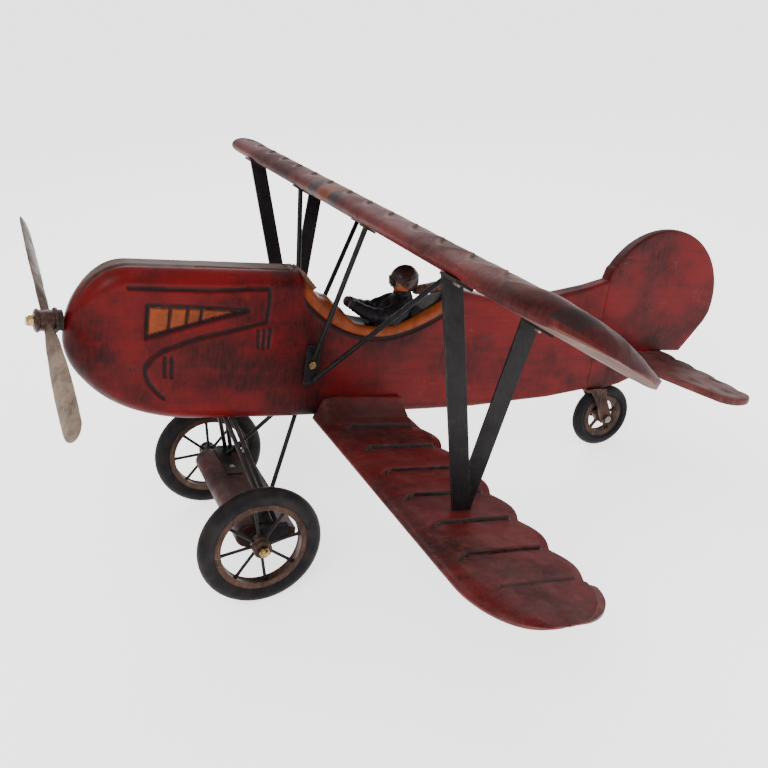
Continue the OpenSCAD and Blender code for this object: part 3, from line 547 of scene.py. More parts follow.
def carve_fuselage(x, y, z, w):
    """Groove, orange, tan and dark masks of the carved and painted body; the dark mask is painted shade and dark
    rubs.
    """
    side = smooth(0.6, 0.85, np.abs(y) / np.maximum(w, 1e-3))
    groove = smooth(2.8, 1.2, line_distance(x, z, COWL) + 0.5 * ripple(x, 0, z, 37, 3))
    cell_edge = np.minimum(line_distance(x, z, CELL_TOP), line_distance(x, z, CELL_LOW))
    cell_edge = np.minimum(cell_edge, line_distance(x, z, [(69, -34), (69, -64)]))
    groove = np.maximum(groove, smooth(2.9, 1.3, cell_edge))
    for dx, top, low in DIVIDERS:
        groove = np.maximum(groove, smooth(2.0, 0.9, line_distance(x, z, [(dx, top), (dx - 1, low)])))
    for line in SLASHES:
        groove = np.maximum(groove, smooth(2.5, 1.0, line_distance(x, z, line)))
    cap = np.interp(x, [69, 112, 161], [-34, -35, -37])
    low = np.interp(x, [69, 112, 161], [-64, -51, -37])
    cell = (x > 69) * (x < 161) * smooth(0.3, 1.4, cap - z) * smooth(0.3, 1.4, z - low)
    groove, cell = groove * side, cell * side
    rim = line_distance(x, z, [(u, float(deck_height(np.array(float(u))))) for u in range(214, 389, 6)])
    in_rim = (x > 213) * (x < 389) * smooth(213, 219, x) * smooth(389, 380, x)
    band = in_rim * smooth(12.5, 10.5, rim) * smooth(0.62, 0.72, np.abs(y) / np.maximum(w, 1e-3))
    under = in_rim * smooth(2.9, 1.2, np.abs(rim - 14)) * side
    # The cockpit well is solid; inner paints it near-black as painted shade of a hollow.
    inner = smooth(246, 262, x) * smooth(392, 380, x) * smooth(0.78, 0.66, np.abs(y) / np.maximum(w, 1e-3))
    inner = inner * (z > deck_height(x) - 14)
    front = smooth(211, 217, x) * smooth(262, 246, x) * smooth(0.8, 0.7, np.abs(y) / np.maximum(w, 1e-3))
    front = front * (z > deck_height(x) - 14)
    top = (z > deck_height(x) - 6) * smooth(6, 22, x) * smooth(211, 206, x)
    tan = top * smooth(9.6, 8.4, np.abs(y) + 0.5 * ripple(x, 0, 0, 60, 1))
    line = top * smooth(2.3, 1.0, np.abs(np.abs(y) - 10.2 + 0.5 * ripple(x, 0, 0, 60, 1)))
    end = (np.abs(y) < 10) * (z > -6) * smooth(1.8, 0.6, np.abs(x - 204))
    # Dark rubs near the wing root, painted shade along the belly, and the low front of the nose darker.
    rubs_and_shade = 0.8 * np.exp(-(((x - 236) / 26) ** 2) - ((z + 141) / 9) ** 2) * side
    rubs_and_shade = rubs_and_shade + 0.55 * np.exp(-(((x - 228) / 9) ** 2) - ((z + 96) / 26) ** 2) * side
    rubs_and_shade = rubs_and_shade + 0.8 * np.exp(-(((x - 230) / 9) ** 2) - ((z + 91) / 23) ** 2) * side
    rubs_and_shade = rubs_and_shade + 0.45 * np.exp(-(((z + 148) / 5) ** 2)) + 0.5 * smooth(26, 4, x) * smooth(-50, -96, z)
    groove = np.maximum.reduce([groove, under, line, end])
    orange = np.maximum.reduce([cell * (1 - groove), band, 0.75 * front])
    dark = np.clip(np.maximum(inner, rubs_and_shade), 0, 1)
    return groove, orange, tan, dark, cell, side


def fuselage_surface(depth):
    """Rounded-slab sections swept along x: each loop is belly, chine, side, shoulder and deck, with
    grooves sunk into the side and deck by depth millimetres times their masks."""
    turn = np.linspace(0, np.pi / 2, 46)
    x = np.concatenate([45 * (1 - np.cos(turn)), np.arange(46.2, 192, 1.2), np.arange(192, 395, 1.55),
                        np.linspace(397, 583, 64)])[:, None]
    top, low, w = deck_height(x), belly_height(x), side_width(x)
    r_top = np.minimum(np.interp(x, [0, 205, 224, 383, 400, 583], [18, 16, 9, 9, 8, 3.5]), w * 0.999)
    r_low = np.minimum(np.interp(x, [0, 60, 212, 583], [22, 14, 8, 3.5]), w * 0.999)
    tall = (top - low) * 0.48
    r_top, r_low = np.minimum(r_top, tall), np.minimum(r_low, tall)
    one = np.ones_like(x)
    f = np.linspace(0, 1, 7)[None, :-1]
    parts = [(f * (w - r_low), low * np.ones_like(f))]
    a = np.linspace(-np.pi / 2, 0, 9)[None, :-1]
    parts.append((w - r_low + r_low * np.cos(a), low + r_low + r_low * np.sin(a)))
    f = np.linspace(0, 1, 91)[None, :-1]
    parts.append((w * np.ones_like(f), (low + r_low) * (1 - f) + (top - r_top) * f))
    a = np.linspace(0, np.pi / 2, 14)[None, :-1]
    parts.append((w - r_top + r_top * np.cos(a), top - r_top + r_top * np.sin(a)))
    f = np.linspace(0, 1, 10)[None, :]
    parts.append(((w - r_top) * (1 - f), top * np.ones_like(f)))
    y = np.concatenate([p[0] for p in parts], 1)
    z = np.concatenate([p[1] * one for p in parts], 1)
    crown = np.interp(x, [212, 232, 247, 262, 275, 335, 350, 383], [0, 0, 8, 5, -4, -4, 0, 0])
    reach = smooth(-r_top * 1.2 - 1, 0, z - top)
    z = z + crown * reach * (1 - (y / np.maximum(w, 1e-3)) ** 2)
    y = np.concatenate([y, -y[:, -2:0:-1]], 1)
    z = np.concatenate([z, z[:, -2:0:-1]], 1)
    x = x * np.ones_like(y)
    w = w * np.ones_like(y)
    groove, orange, tan, dark, cell, side = carve_fuselage(x, y, z, w)
    sink = depth * groove + 0.7 * depth * cell
    wave = 0.35 * ripple(x, y, z, 90, 5)
    y = y - np.sign(y) * (sink * side + wave * side * smooth(8, 40, x))
    z = z - sink * (1 - side) * (z > low - 1) * (z > top - 8)
    points = capped(np.stack([x, y, z], -1))
    paint = np.stack([groove, orange, tan, dark], -1)
    paint = np.concatenate([paint[:1], paint, paint[-1:]])
    return points, paint


def plate_surface(outline, centre, half, edge, rows=12):
    """A plate with rounded edges: rings of the outline shrink towards the centre on both faces, and the
    outermost ones follow a quarter circle of radius edge. half gives the half thickness at each (u,
    v)."""
    outline, centre = np.array(outline, float), np.array(centre, float)
    step = np.r_[0, np.cumsum(np.linalg.norm(np.diff(np.r_[outline, outline[:1]], axis=0), axis=1))]
    even = np.linspace(0, step[-1], 400, endpoint=False)
    closed = np.r_[outline, outline[:1]]
    loop = np.stack([np.interp(even, step, closed[:, 0]), np.interp(even, step, closed[:, 1])], -1)
    away = loop - centre
    far = np.linalg.norm(away, axis=1, keepdims=True)
    turn = np.linspace(0, np.pi / 2, 6)
    inset = np.r_[edge * (1 - np.cos(turn)), np.full(rows - 1, edge)]
    share = np.r_[np.zeros(6), np.linspace(0, 1, rows)[1:] ** 1.2]
    rise = np.r_[edge * (np.sin(turn) - 1), np.zeros(rows - 1)]
    faces = []
    for sign in (1, -1):
        flat = loop[None] - away[None] / far[None] * inset[:, None, None]
        flat = flat + (centre - flat) * share[:, None, None]
        height = sign * (half(flat[..., 0], flat[..., 1]) + rise[:, None])
        face = np.concatenate([flat, height[..., None]], -1)
        faces.append(face[::-1] if sign > 0 else face)
    return np.concatenate(faces)


def arc(cx, cz, rx, rz, a, b, n):
    """Points along an elliptical arc between two angles in degrees."""
    t = np.radians(np.linspace(a, b, n))
    return list(zip(cx + rx * np.cos(t), cz + rz * np.sin(t)))


def fin_surface():
    """The tail board: a circle's arc joined to the slab's end, thinning aft."""
    outline = [(583, -133), (583, -60), (583, -1), (586, 12)] + arc(664, -24, 84.5, 84.5, 152, -8, 60)
    outline += [(743, -47), (730, -66), (716, -86), (690, -86), (670, -86), (666, -94), (662, -102),
                (656, -119), (633, -128), (609, -133)]
    flat = plate_surface(outline, (640, -60),
                         lambda u, v: side_width(u) - 0.15 * ripple(u, 0, v, 70, 2), 3.0)
    return np.stack([flat[..., 0], flat[..., 2], flat[..., 1]], -1)


def tailplane_surface():
    """The tail plank: leading edge swept to round tips and a scalloped trailing edge, extruded through
    its depth."""
    te, half = 692.0, 158.0
    y = np.linspace(0, half - 14, 60)
    edge = [(te - 4 + 4 * abs(math.sin(math.pi * v / ((half - 22) / 4))), v) for v in y]
    right = edge + arc(te - 22, half - 16, 22, 16, 20, 90, 8) + arc(te - 23, half - 20, 20, 20, 98, 170, 8)
    right += [(te - 65, 70), (te - 76, 20), (te - 79, 1)]
    outline = right + [(u, -v) for u, v in right[::-1] if v > 0]
    flat = plate_surface(outline, (660, 0), lambda u, v: 4 + 0.2 * ripple(u, v, 0, 60, 4), 2.6)
    points = np.stack([flat[..., 0], flat[..., 1], flat[..., 2] - 90], -1)
    lobe = (half - 22) / 4
    seam = np.abs((np.abs(points[..., 1]) / lobe + 0.5) % 1 - 0.5) * lobe
    mark = smooth(1.6, 0.6, seam) * smooth(640, 652, points[..., 0]) * (points[..., 2] > -90)
    mark = mark * (np.abs(points[..., 1]) < half - 20)
    points[..., 2] -= 0.7 * mark
    paint = np.zeros(points.shape[:2] + (4,))
    paint[..., 0] = mark
    return points, paint


# ---------------------------------------------------------------- wings
def wing_loop(chord, thick, nose_up, lead, counts=(30, 9, 26, 70)):
    """Aerofoil loop as (s, t): flat underside, a small lower and a large upper quarter ellipse, and a
    crowned top."""
    under, lower, upper, top = counts
    s = [np.linspace(chord, 7, under)[:-1]]
    t = [np.zeros(under - 1)]
    a = np.linspace(3 * np.pi / 2, np.pi, lower)[:-1]
    s.append(7 + 7 * np.cos(a))
    t.append(nose_up + nose_up * np.sin(a))
    a = np.linspace(np.pi, np.pi / 2, upper)[:-1]
    s.append(lead + lead * np.cos(a))
    t.append(nose_up + (thick - nose_up) * np.sin(a))
    back = np.linspace(lead, chord, top)
    s.append(back)
    t.append(np.interp(back, [lead, chord * 0.5, chord * 0.75, chord],
                       [thick, thick * 0.94, thick * 0.66, thick * 0.34]))
    return np.concatenate(s), np.concatenate(t)


def tip_edges(y, chord, half, lead_r, trail_r, scallop, last, pitch, first=0.0):
    """Leading and trailing edge at each y: elliptical tips, straight front and a scalloped back."""
    a = np.clip((y - (half - lead_r)) / lead_r, 0, 1)
    b = np.clip((y - (half - trail_r)) / trail_r, 0, 1)
    front = chord * 0.49 * (1 - np.sqrt(1 - a**2))
    back = chord * (0.49 + 0.51 * np.sqrt(1 - b**2))
    wave = scallop * np.abs(np.sin(np.pi * (last - y) / pitch)) * (y < last) * (y > first)
    wave = np.maximum(wave, scallop * 0.9 * smooth(last, last + 8, y) * np.sqrt(1 - b**2))
    return front, back + wave


def upper_wing_surface():
    """One plank from tip to tip. Behind a smooth leading band each panel is sunk behind a scalloped step."""
    chord, half, pitch, last = 130.0, 390.0, 48.0, 338.0
    run = np.r_[np.linspace(0, 322, 290), 322 + 68 * np.sin(np.linspace(0, np.pi / 2, 50)[1:])]
    run = np.clip(run, 0, 389.9)
    y = np.r_[-run[:0:-1], run][:, None]
    far = np.abs(y)
    front, back = tip_edges(far, chord, half, 60, 50, 6.0, last, pitch)
    s0, t0 = wing_loop(chord, 24.5, 6.0, 34.0)
    s = front + s0[None] * (back - front) / chord
    out = np.clip((far - 318) / 72, 0, 1)
    thin = (1 - 0.35 * out**2) * np.sqrt(np.clip(1 - out**8, 0.015, 1))
    t = t0[None] * thin + 6.0 * out**2
    is_top = (t0[None] > 8) * np.ones_like(y)
    cell = ((last - far) / pitch) % 1
    step_at = 22 - 14.5 * np.sin(np.pi * cell) + 10 * out
    on_panel = smooth(0, 2.2, s - step_at) * is_top * smooth(1, 5, back - s) * smooth(last + 4, last, far)
    crease = smooth(2.4, 0.8, pitch * np.minimum(cell, 1 - cell)) * on_panel
    fade = 0.25 + 0.75 * smooth(46, 26, s)
    t = t - fade * (1.7 * on_panel + 1.1 * crease)
    t = t + 0.35 * ripple(s, y, 0, 55, 7) * is_top
    # The lip along each step is lightened: partly rubbed wear, partly painted highlight.
    lip_wear_and_highlight = is_top * smooth(2.8, 0.8, np.abs(s - step_at + 1.2))
    lip_wear_and_highlight = lip_wear_and_highlight * smooth(0.1, 0.5, 0.5 + 0.5 * ripple(s, y, 0, 30, 9))
    lip_wear_and_highlight = lip_wear_and_highlight * smooth(last + 6, last, far)
    c, n = math.cos(UPPER_WING_TILT), math.sin(UPPER_WING_TILT)
    x = UPPER_WING_FRONT[0] + s * c + t * n
    z = UPPER_WING_FRONT[1] - s * n + t * c
    band = (s < step_at + 4) * np.ones_like(s)
    slip = y + 0.35 * (s - 15)
    orange = band * smooth(17, 15, np.abs(slip - 4))
    grey = band * smooth(15, 17, np.abs(slip - 4)) * smooth(40, 37, np.abs(slip - 4))
    grey = np.maximum(grey, 0.9 * (far > 366) * (far < 379) * (s - front < 30) * is_top)
    under = (t0[None] < 2.5) * np.ones_like(s) * (s > 16)
    # Painted shade in the foot of each scalloped step.
    step_shade = smooth(5.0, 2.0, s - step_at) * smooth(0.3, 1.3, s - step_at) * is_top * (far < last)
    dark = np.clip(crease + 0.85 * step_shade + 0.45 * smooth(last, last + 9, far) * is_top, 0, 1)
    # Fourth channel: brown underside, lighter sunk panels, and the lips' wear and painted highlight.
    rubbed = np.clip(np.maximum.reduce([0.6 * under, 0.9 * lip_wear_and_highlight, 0.3 * on_panel]), 0, 1)
    paint = np.stack([dark, orange, grey, rubbed], -1)
    points = capped(np.stack([x, y * np.ones_like(x), z], -1))
    return points, np.concatenate([paint[:1], paint, paint[-1:]])


def lower_wing_surface(side):
    """Half a wing: a smooth leading band, then lapped panels like weatherboards with scalloped ends, and
    a fairing that rises to the fuselage at the root."""
    chord, half, pitch, first = 106.0, 398.0, 48.0, 57.0
    last = first + 6 * pitch
    y = np.r_[np.linspace(22, 330, 420), 330 + 68 * np.sin(np.linspace(0, np.pi / 2, 60)[1:])]
    y = np.clip(y, 22, 397.9)[:, None]
    front, back = tip_edges(y, chord, half, 73, 48, 7.5, last, pitch, first)
    s0, t0 = wing_loop(chord, 11.0, 5.0, 24.0, (24, 9, 16, 74))
    t0 = np.where(s0 > 24, np.where(t0 > 5, 11 - 1.8 * (s0 - 24) / 82, t0), t0)
    s = front + s0[None] * (back - front) / chord
    out = np.clip((y - 330) / 68, 0, 1)
    thin = (1 - 0.3 * out**2) * np.sqrt(np.clip(1 - out**8, 0.02, 1))
    t = 11 + (t0[None] - 11) * thin
    t = t - 2.2 * out**2 * (t0[None] > 6)
    is_top = (t0[None] > 6.5) * np.ones_like(y)
    lap = ((y - first) / pitch) % 1
    on_panel = smooth(12, 26, s - front) * is_top * (y > first - 1) * (y < last + 1)
    swoop = smooth(30, 12, s - front) * 0.22
    lap = (lap - swoop) % 1
    t = t - on_panel * 2.8 * (1 - lap) ** 1.3
    crease = smooth(1.7, 0.6, pitch * np.minimum(lap, 1 - lap)) * smooth(10, 18, s - front) * is_top
    crease = crease * (y > first - 6) * (y < last + 2)
    t = t - 0.8 * crease
    rise = np.interp(y, [22, 25, 31, 37, 46, 57], [16, 16, 11, 7, 2.4, 0])
    t = t + rise * is_top * smooth(0, 10, s - front)
    t = t + 0.3 * ripple(s, y, 0, 50, 11) * is_top
    x = LOWER_WING_FRONT + s
    z = BELLY_OF_LOWER_WING + t
    # Painted shade at the root beside the fuselage and in the low end of each lap.
    lap_and_root_shade = 0.75 * np.exp(-(((y - 40) / 12) ** 2)) * is_top + 0.35 * smooth(0.0, 0.25, 0.3 - lap) * on_panel
    # Painted shade of the slot where the interplane strut's foot enters the wing.
    slot = np.exp(-(((x - 298) / 13) ** 2) - ((y - 231) / 6) ** 2) * is_top
    dark = np.clip(np.maximum.reduce([crease, 0.8 * slot]), 0, 1)
    under = (t0[None] < 2) * np.ones_like(s) * 1.0
    paint = np.stack([dark, 0 * s, 0 * s, np.clip(np.maximum(under, lap_and_root_shade), 0, 1)], -1)
    points = capped(np.stack([x, side * y * np.ones_like(x), z * np.ones_like(x)], -1))
    return points, np.concatenate([paint[:1], paint, paint[-1:]])


# ---------------------------------------------------------------- turned and lofted pieces
def turned(profile, origin, axis, segments=128, start=(1.0, 0, 0)):
    """A closed (radius, height) outline turned round an axis through origin."""
    profile = np.array(profile, float)
    axis = np.array(axis, float) / np.linalg.norm(axis)
    hint = np.array(start, float)
    u = hint - axis * (hint @ axis)
    u /= np.linalg.norm(u)
    v = np.cross(axis, u)
    a = ring(segments)[:, None, None]
    r, h = profile[None, :, :1], profile[None, :, 1:]
    return np.array(origin) + r * (np.cos(a) * u + np.sin(a) * v) + h * axis


def rounded_profile(points, radius, steps=5):
    """The closed outline through the points with each corner replaced by a short curve."""
    points = np.array(points, float)
    out = []
    for before, here, after in zip(np.roll(points, 1, 0), points, np.roll(points, -1, 0)):
        a, b = before - here, after - here
        la, lb = np.linalg.norm(a), np.linalg.norm(b)
        cut = min(radius, la * 0.45, lb * 0.45)
        p, q = here + a / la * cut, here + b / lb * cut
        f = np.linspace(0, 1, steps)[:, None]
        out.append((1 - f) ** 2 * p + 2 * f * (1 - f) * here + f**2 * q)
    return np.concatenate(out)


def tube(path, radii, sides=28, squash=1.0):
    """Circles of given radii carried along a path, closed at both ends."""
    path, radii = np.array(path, float), np.array(radii, float)
    ahead = np.gradient(path, axis=0)
    ahead /= np.linalg.norm(ahead, axis=1, keepdims=True)
    hint = np.array([0.0, 1.0, 0.0])
    u = hint - ahead * (ahead @ hint)[:, None]
    u /= np.linalg.norm(u, axis=1, keepdims=True)
    v = np.cross(ahead, u)
    a = ring(sides)[None, :, None]
    loops = path[:, None] + radii[:, None, None] * (squash * np.cos(a) * u[:, None] + np.sin(a) * v[:, None])
    return capped(loops)


def spline(points, count):
    """A smooth curve through the points at even steps, by Catmull and Rom's formula."""
    p = np.array(points, float)
    p = np.concatenate([[2 * p[0] - p[1]], p, [2 * p[-1] - p[-2]]])
    t = np.linspace(0, len(points) - 1 - 1e-9, count)
    i = t.astype(int)
    f = (t - i)[:, None]
    a, b, c, d = p[i], p[i + 1], p[i + 2], p[i + 3]
    return 0.5 * (2 * b + (c - a) * f + (2 * a - 5 * b + 4 * c - d) * f**2 + (3 * b - a - 3 * c + d) * f**3)


def tyre_profile(outer, width, inner):
    """A hollow-sided solid tyre: round tread, a shallow mould line and lips that grip the rim."""
    a = np.linspace(-np.pi / 2, np.pi / 2, 41)
    mid = outer - width / 2
    r = mid + width / 2 * np.cos(a) - 0.35 * np.exp(-(((a - 0.0) / 0.04) ** 2))
    h = width / 2 * np.sin(a)
    flare = [(mid - 2.2, width / 2 - 0.2), (inner + 2.4, width / 2 - 1.6), (inner + 1.5, width / 2 - 2.2),
             (inner + 0.6, width / 2 - 2.4), (inner, width / 2 - 3.0)]
    inside = [(inner, -width / 2 + 3.0)] + [(r_, -h_) for r_, h_ in flare[::-1][1:]]
    return np.concatenate([np.stack([r, h], -1), np.array(flare), np.array(inside)])


def wheel_angle(side):
    """Angle of one spoke, in the wheel's own plane."""
    return math.radians(-12.85 if side < 0 else 36.0)


def wheel_frame(side):
    """Centre, outward axis and the two in-plane directions of a main wheel."""
    centre = AXLE + np.array([0, side * 100.7, 0])
    return centre, np.array([0, side * 1.0, 0]), np.array([1.0, 0, 0]), np.array([0, 0, -1.0])


def wheel_grids(side):
    """Tyre, rim, hub and spokes of one main wheel as grids."""
    centre, out, fore, down = wheel_frame(side)
    tyre = turned(tyre_profile(60.0, 15.4, 44.6), centre, out, 160)
    rim = turned(rounded_profile([(38.5, -5.5), (45, -5.5), (45, 5.5), (38.5, 5.5), (39.8, 3.2),
                                  (39.8, -3.2)], 1.2),
                 centre, out, 128)
    hub_points = [(3.05, -9.4), (6.6, -9.4), (7.2, -8), (7.2, -3.6), (9.0, -2.6), (9.0, 2.6), (7.4, 3.8),
                  (7.4, 6.4), (8.9, 7.4), (9.0, 10.2), (7.6, 11.3), (3.05, 11.3)]
    hub = turned(rounded_profile(hub_points, 0.8), centre, out, 96)
    rods = []
    along = np.linspace(0, 1, 26)
    for k in range(8):
        a = wheel_angle(side) + k * math.pi / 4
        way = math.cos(a) * fore + math.sin(a) * down
        path = centre + (5.0 + along[:, None] * 35.2) * way + 0.25 * np.sin(3 * along + k)[:, None] * out
        radius = 1.55 + 0.55 * np.exp(-((along / 0.12) ** 2)) + 0.5 * np.exp(-(((along - 1) / 0.1) ** 2))
        rods.append(tube(path, radius, 18))
    return tyre, rim, hub, rods


def blade_surface(turn_to):
    """One propeller blade: an aerofoil whose chord swells and rounds off and whose twist eases towards
    the tip."""
    f = np.r_[np.linspace(0, 0.9, 60), 0.9 + 0.1 * np.sin(np.linspace(0, np.pi / 2, 26)[1:])]
    r = 6 + f * 127
    chord = np.interp(f, [0, 0.06, 0.18, 0.4, 0.62, 0.8, 0.9], [9, 9.5, 15, 20.5, 23.5, 24.0, 23.2])
    tip = np.clip((f - 0.9) / 0.1, 0, 1)
    chord = chord * np.sqrt(np.clip(1 - tip**2, 0.0004, 1))
    thick = np.interp(f, [0, 0.1, 0.3, 1.0], [8.0, 6.2, 3.8, 2.2]) * np.sqrt(np.clip(1 - tip**4, 0.01, 1))
    twist = np.radians(np.interp(f, [0, 0.25, 1], [50, 37, 29]))
    a = ring(44)[None, :]
    across = 0.5 * chord[:, None] * np.cos(a)
    deep = 0.5 * thick[:, None] * np.sin(a) * (1 + 0.25 * np.cos(a))
    dents = 0.25 * ripple(r[:, None], across, 0, 24, 2) * smooth(0.1, 0.3, f)[:, None]
    deep = deep + dents * (1 - tip[:, None])
    # local axes: u up, v to starboard, n forward along the shaft
    v = across * np.cos(twist)[:, None] + deep * np.sin(twist)[:, None]
    n = deep * np.cos(twist)[:, None] - across * np.sin(twist)[:, None]
    c, s = math.cos(turn_to), math.sin(turn_to)
    up = r[:, None] * c - v * s
    star = r[:, None] * s + v * c
    return capped(shaft_place(np.stack([up, star, BLADE_AT + n], -1)))


def shaft_place(p):
    """(up, starboard, forward) millimetres about the shaft's root to airframe millimetres."""
    x, y = -p[..., 2], p[..., 1]
    c, s = math.cos(SHAFT_YAW), math.sin(SHAFT_YAW)
    return np.stack([x * c - y * s, x * s + y * c, p[..., 0] - SHAFT_DROP], -1)


SHAFT_ROOT = np.array([0.0, 0.0, -SHAFT_DROP])
SHAFT_WAY = np.array([-math.cos(SHAFT_YAW), -math.sin(SHAFT_YAW), 0.0])


def hub_profile():
    """The propeller hub's stepped barrel with a collar at each end."""
    return rounded_profile([(3.05, 4.35), (11.4, 4.35), (11.5, 7.2), (9.4, 8.0), (9.6, 15.6), (9.4, 19.6),
                            (10.6, 20.3), (10.6, 22.6), (8.6, 23.6), (7.4, 24.2), (3.05, 24.2)], 0.9)


# ---------------------------------------------------------------- pilot
HEAD = np.array([330.0, 0.0, -8.5])


def head_surface():
    """Head as radius against direction: an egg, with a brow, nose, lips, chin and cheeks raised in front
    and a leather helmet standing 0.9 mm proud round the face, with a crown seam and ear pads."""
    theta = np.linspace(0.0, np.pi, 110)[:, None]
    lam = ring(168)[None, :]
    nod = math.radians(14)
    f, r, u = np.sin(theta) * np.cos(lam), np.sin(theta) * np.sin(lam), np.cos(theta) * np.ones_like(lam)
    egg = 1 / np.sqrt((f / 15.4) ** 2 + (r / 13.2) ** 2 + (u / 14.8) ** 2)

    def bump(to_side, to_up, wide, tall, high):
        return high * np.exp(-(((r - to_side) / wide) ** 2) - ((u - to_up) / tall) ** 2) * (f > 0)

    skin = bump(0, -0.13, 0.085, 0.14, 1.5) + bump(0, -0.24, 0.13, 0.085, 1.7)
    skin = skin + bump(0, 0.14, 0.42, 0.08, 0.8) + bump(0, -0.72, 0.2, 0.13, 1.5)
    skin = skin + bump(0, -0.46, 0.17, 0.035, 0.75) + bump(0, -0.54, 0.14, 0.035, 0.8)
    skin = skin - bump(0, -0.5, 0.2, 0.018, 0.55) - bump(0.3, 0.0, 0.13, 0.09, 0.9)
    skin = skin - bump(-0.3, 0.0, 0.13, 0.09, 0.9)
    skin = skin + bump(0.42, -0.28, 0.18, 0.16, 0.6) + bump(-0.42, -0.28, 0.18, 0.16, 0.6)
    skin = skin - bump(0, -0.88, 0.5, 0.12, 1.0)
    open_face = ((r / 0.84) ** 2 + ((u + 0.36) / 0.74) ** 2)
    face = (f > 0) * smooth(1.06, 0.96, open_face)
    rim = (f > 0) * np.exp(-(((open_face - 1.08) / 0.09) ** 2))
    seam = np.exp(-((r / 0.022) ** 2)) * (1 - face) * (u > -0.2)
    ear = np.exp(-(((f + 0.02) / 0.26) ** 2) - ((u + 0.18) / 0.26) ** 2) * (np.abs(r) > 0.5)
    strap = (1 - face) * np.exp(-(((u - 0.12 + 0.12 * f) / 0.07) ** 2))
    radius = egg + face * (skin - 0.9) + 0.5 * rim + 0.25 * seam + 0.8 * ear + 0.35 * strap
    radius = radius + (1 - face) * 0.18 * ripple(f * 14, r * 14, u * 14, 9, 2)
    f2 = f * math.cos(nod) + u * math.sin(nod)
    u2 = u * math.cos(nod) - f * math.sin(nod)
    points = HEAD + np.stack([-radius * f2, radius * r, radius * u2], -1)
    # Painted shade in the eye sockets and along the face inside the helmet rim; the mouth line and the crown seam
    # darkened too.
    sockets = bump(0.3, 0.0, 0.16, 0.11, 0.8) + bump(-0.3, 0.0, 0.16, 0.11, 0.8)
    crease = np.clip(bump(0, -0.5, 0.2, 0.03, 0.9) + sockets + 0.7 * rim * (open_face < 1.1) + 0.5 * seam,
                     0, 1)
    paint = np.stack([crease, face, 0.5 * strap, np.zeros_like(face)], -1)
    return points, paint


def head_place(f, r, u, distance):
    """A point on a direction from the head's middle, nodded like the head."""
    nod = math.radians(14)
    f2, u2 = f * math.cos(nod) + u * math.sin(nod), u * math.cos(nod) - f * math.sin(nod)
    return HEAD + distance * np.array([-f2, r, u2])


def goggle_grids():
    """Two domed lens cups with rolled rims, and a bridge between them."""
    grids = []
    for side in (-1, 1):
        way = np.array([0.93, side * 0.33, 0.08])
        way = way / np.linalg.norm(way)
        axis = head_place(*way, 1.0) - HEAD
        root = head_place(*way, 12.7)
        cup = rounded_profile([(0.02, 0.6), (3.6, 1.0), (4.1, 2.9), (4.5, 3.2), (4.9, 2.2), (4.7, -0.6),
                               (0.02, -0.8)], 0.5)
        lens = [(0.02, 2.95), (1.6, 2.8), (3.0, 2.35), (3.9, 1.7), (3.9, 0.8), (0.02, 0.8)]
        grids.append((turned(cup, root, axis, 48), 0))
        grids.append((turned(lens, root, axis, 48), 1))
    left, right = head_place(0.95, -0.16, 0.1, 15.6), head_place(0.95, 0.16, 0.1, 15.6)
    top = head_place(0.97, 0, 0.12, 16.4)
    grids.append((tube(spline([left, top, right], 14), np.full(14, 0.75), 14), 0))
    return grids


def torso_surface():
    """Ellipses stacked up the leaning spine from the well to the collar, pushed out at chest and
    shoulders and creased by slow diagonal folds."""
    f = np.linspace(0, 1, 70)
    x = np.interp(f, [0, 0.35, 0.7, 0.88, 1.0], [312, 317, 327, 331, 330.5])
    z = -68 + f * 49
    wide = np.interp(f, [0, 0.2, 0.5, 0.66, 0.76, 0.86, 0.92, 1.0],
                     [14, 16.6, 17.4, 17.6, 16.4, 11.4, 8.0, 7.4])
    deep = np.interp(f, [0, 0.2, 0.5, 0.7, 0.82, 0.92, 1.0], [22, 22, 20, 15.5, 11.4, 8.4, 7.4])
    wide, deep = [np.convolve(np.pad(v, 4, "edge"), np.ones(9) / 9, "valid") for v in (wide, deep)]
    a = ring(90)[None, :]
    fold = 0.55 * np.sin(5 * a + 26 * f[:, None]) * smooth(0.95, 0.75, f)[:, None]
    fold = fold + 0.4 * np.sin(9 * a - 18 * f[:, None] + 1) * smooth(0.9, 0.7, f)[:, None]
    px = x[:, None] + (deep[:, None] + fold) * np.cos(a)
    py = (wide[:, None] + fold * 0.4) * np.sin(a)
    pz = z[:, None] + 0.5 * np.cos(a) * f[:, None]
    lapel = np.exp(-((np.abs(py) - 2.2 - 6 * (1 - f[:, None])) ** 2) / 0.8)
    lapel = lapel * (np.cos(a) < -0.5) * (f[:, None] > 0.45)
    px = px - 0.5 * lapel
    paint = np.zeros(px.shape + (4,))
    # Painted shade in the troughs of the jacket's folds.
    paint[..., 0] = np.clip(0.5 - fold, 0, 1) * 0.5
    points = capped(np.stack([px, py, pz], -1))
    return points, np.concatenate([paint[:1], paint, paint[-1:]])


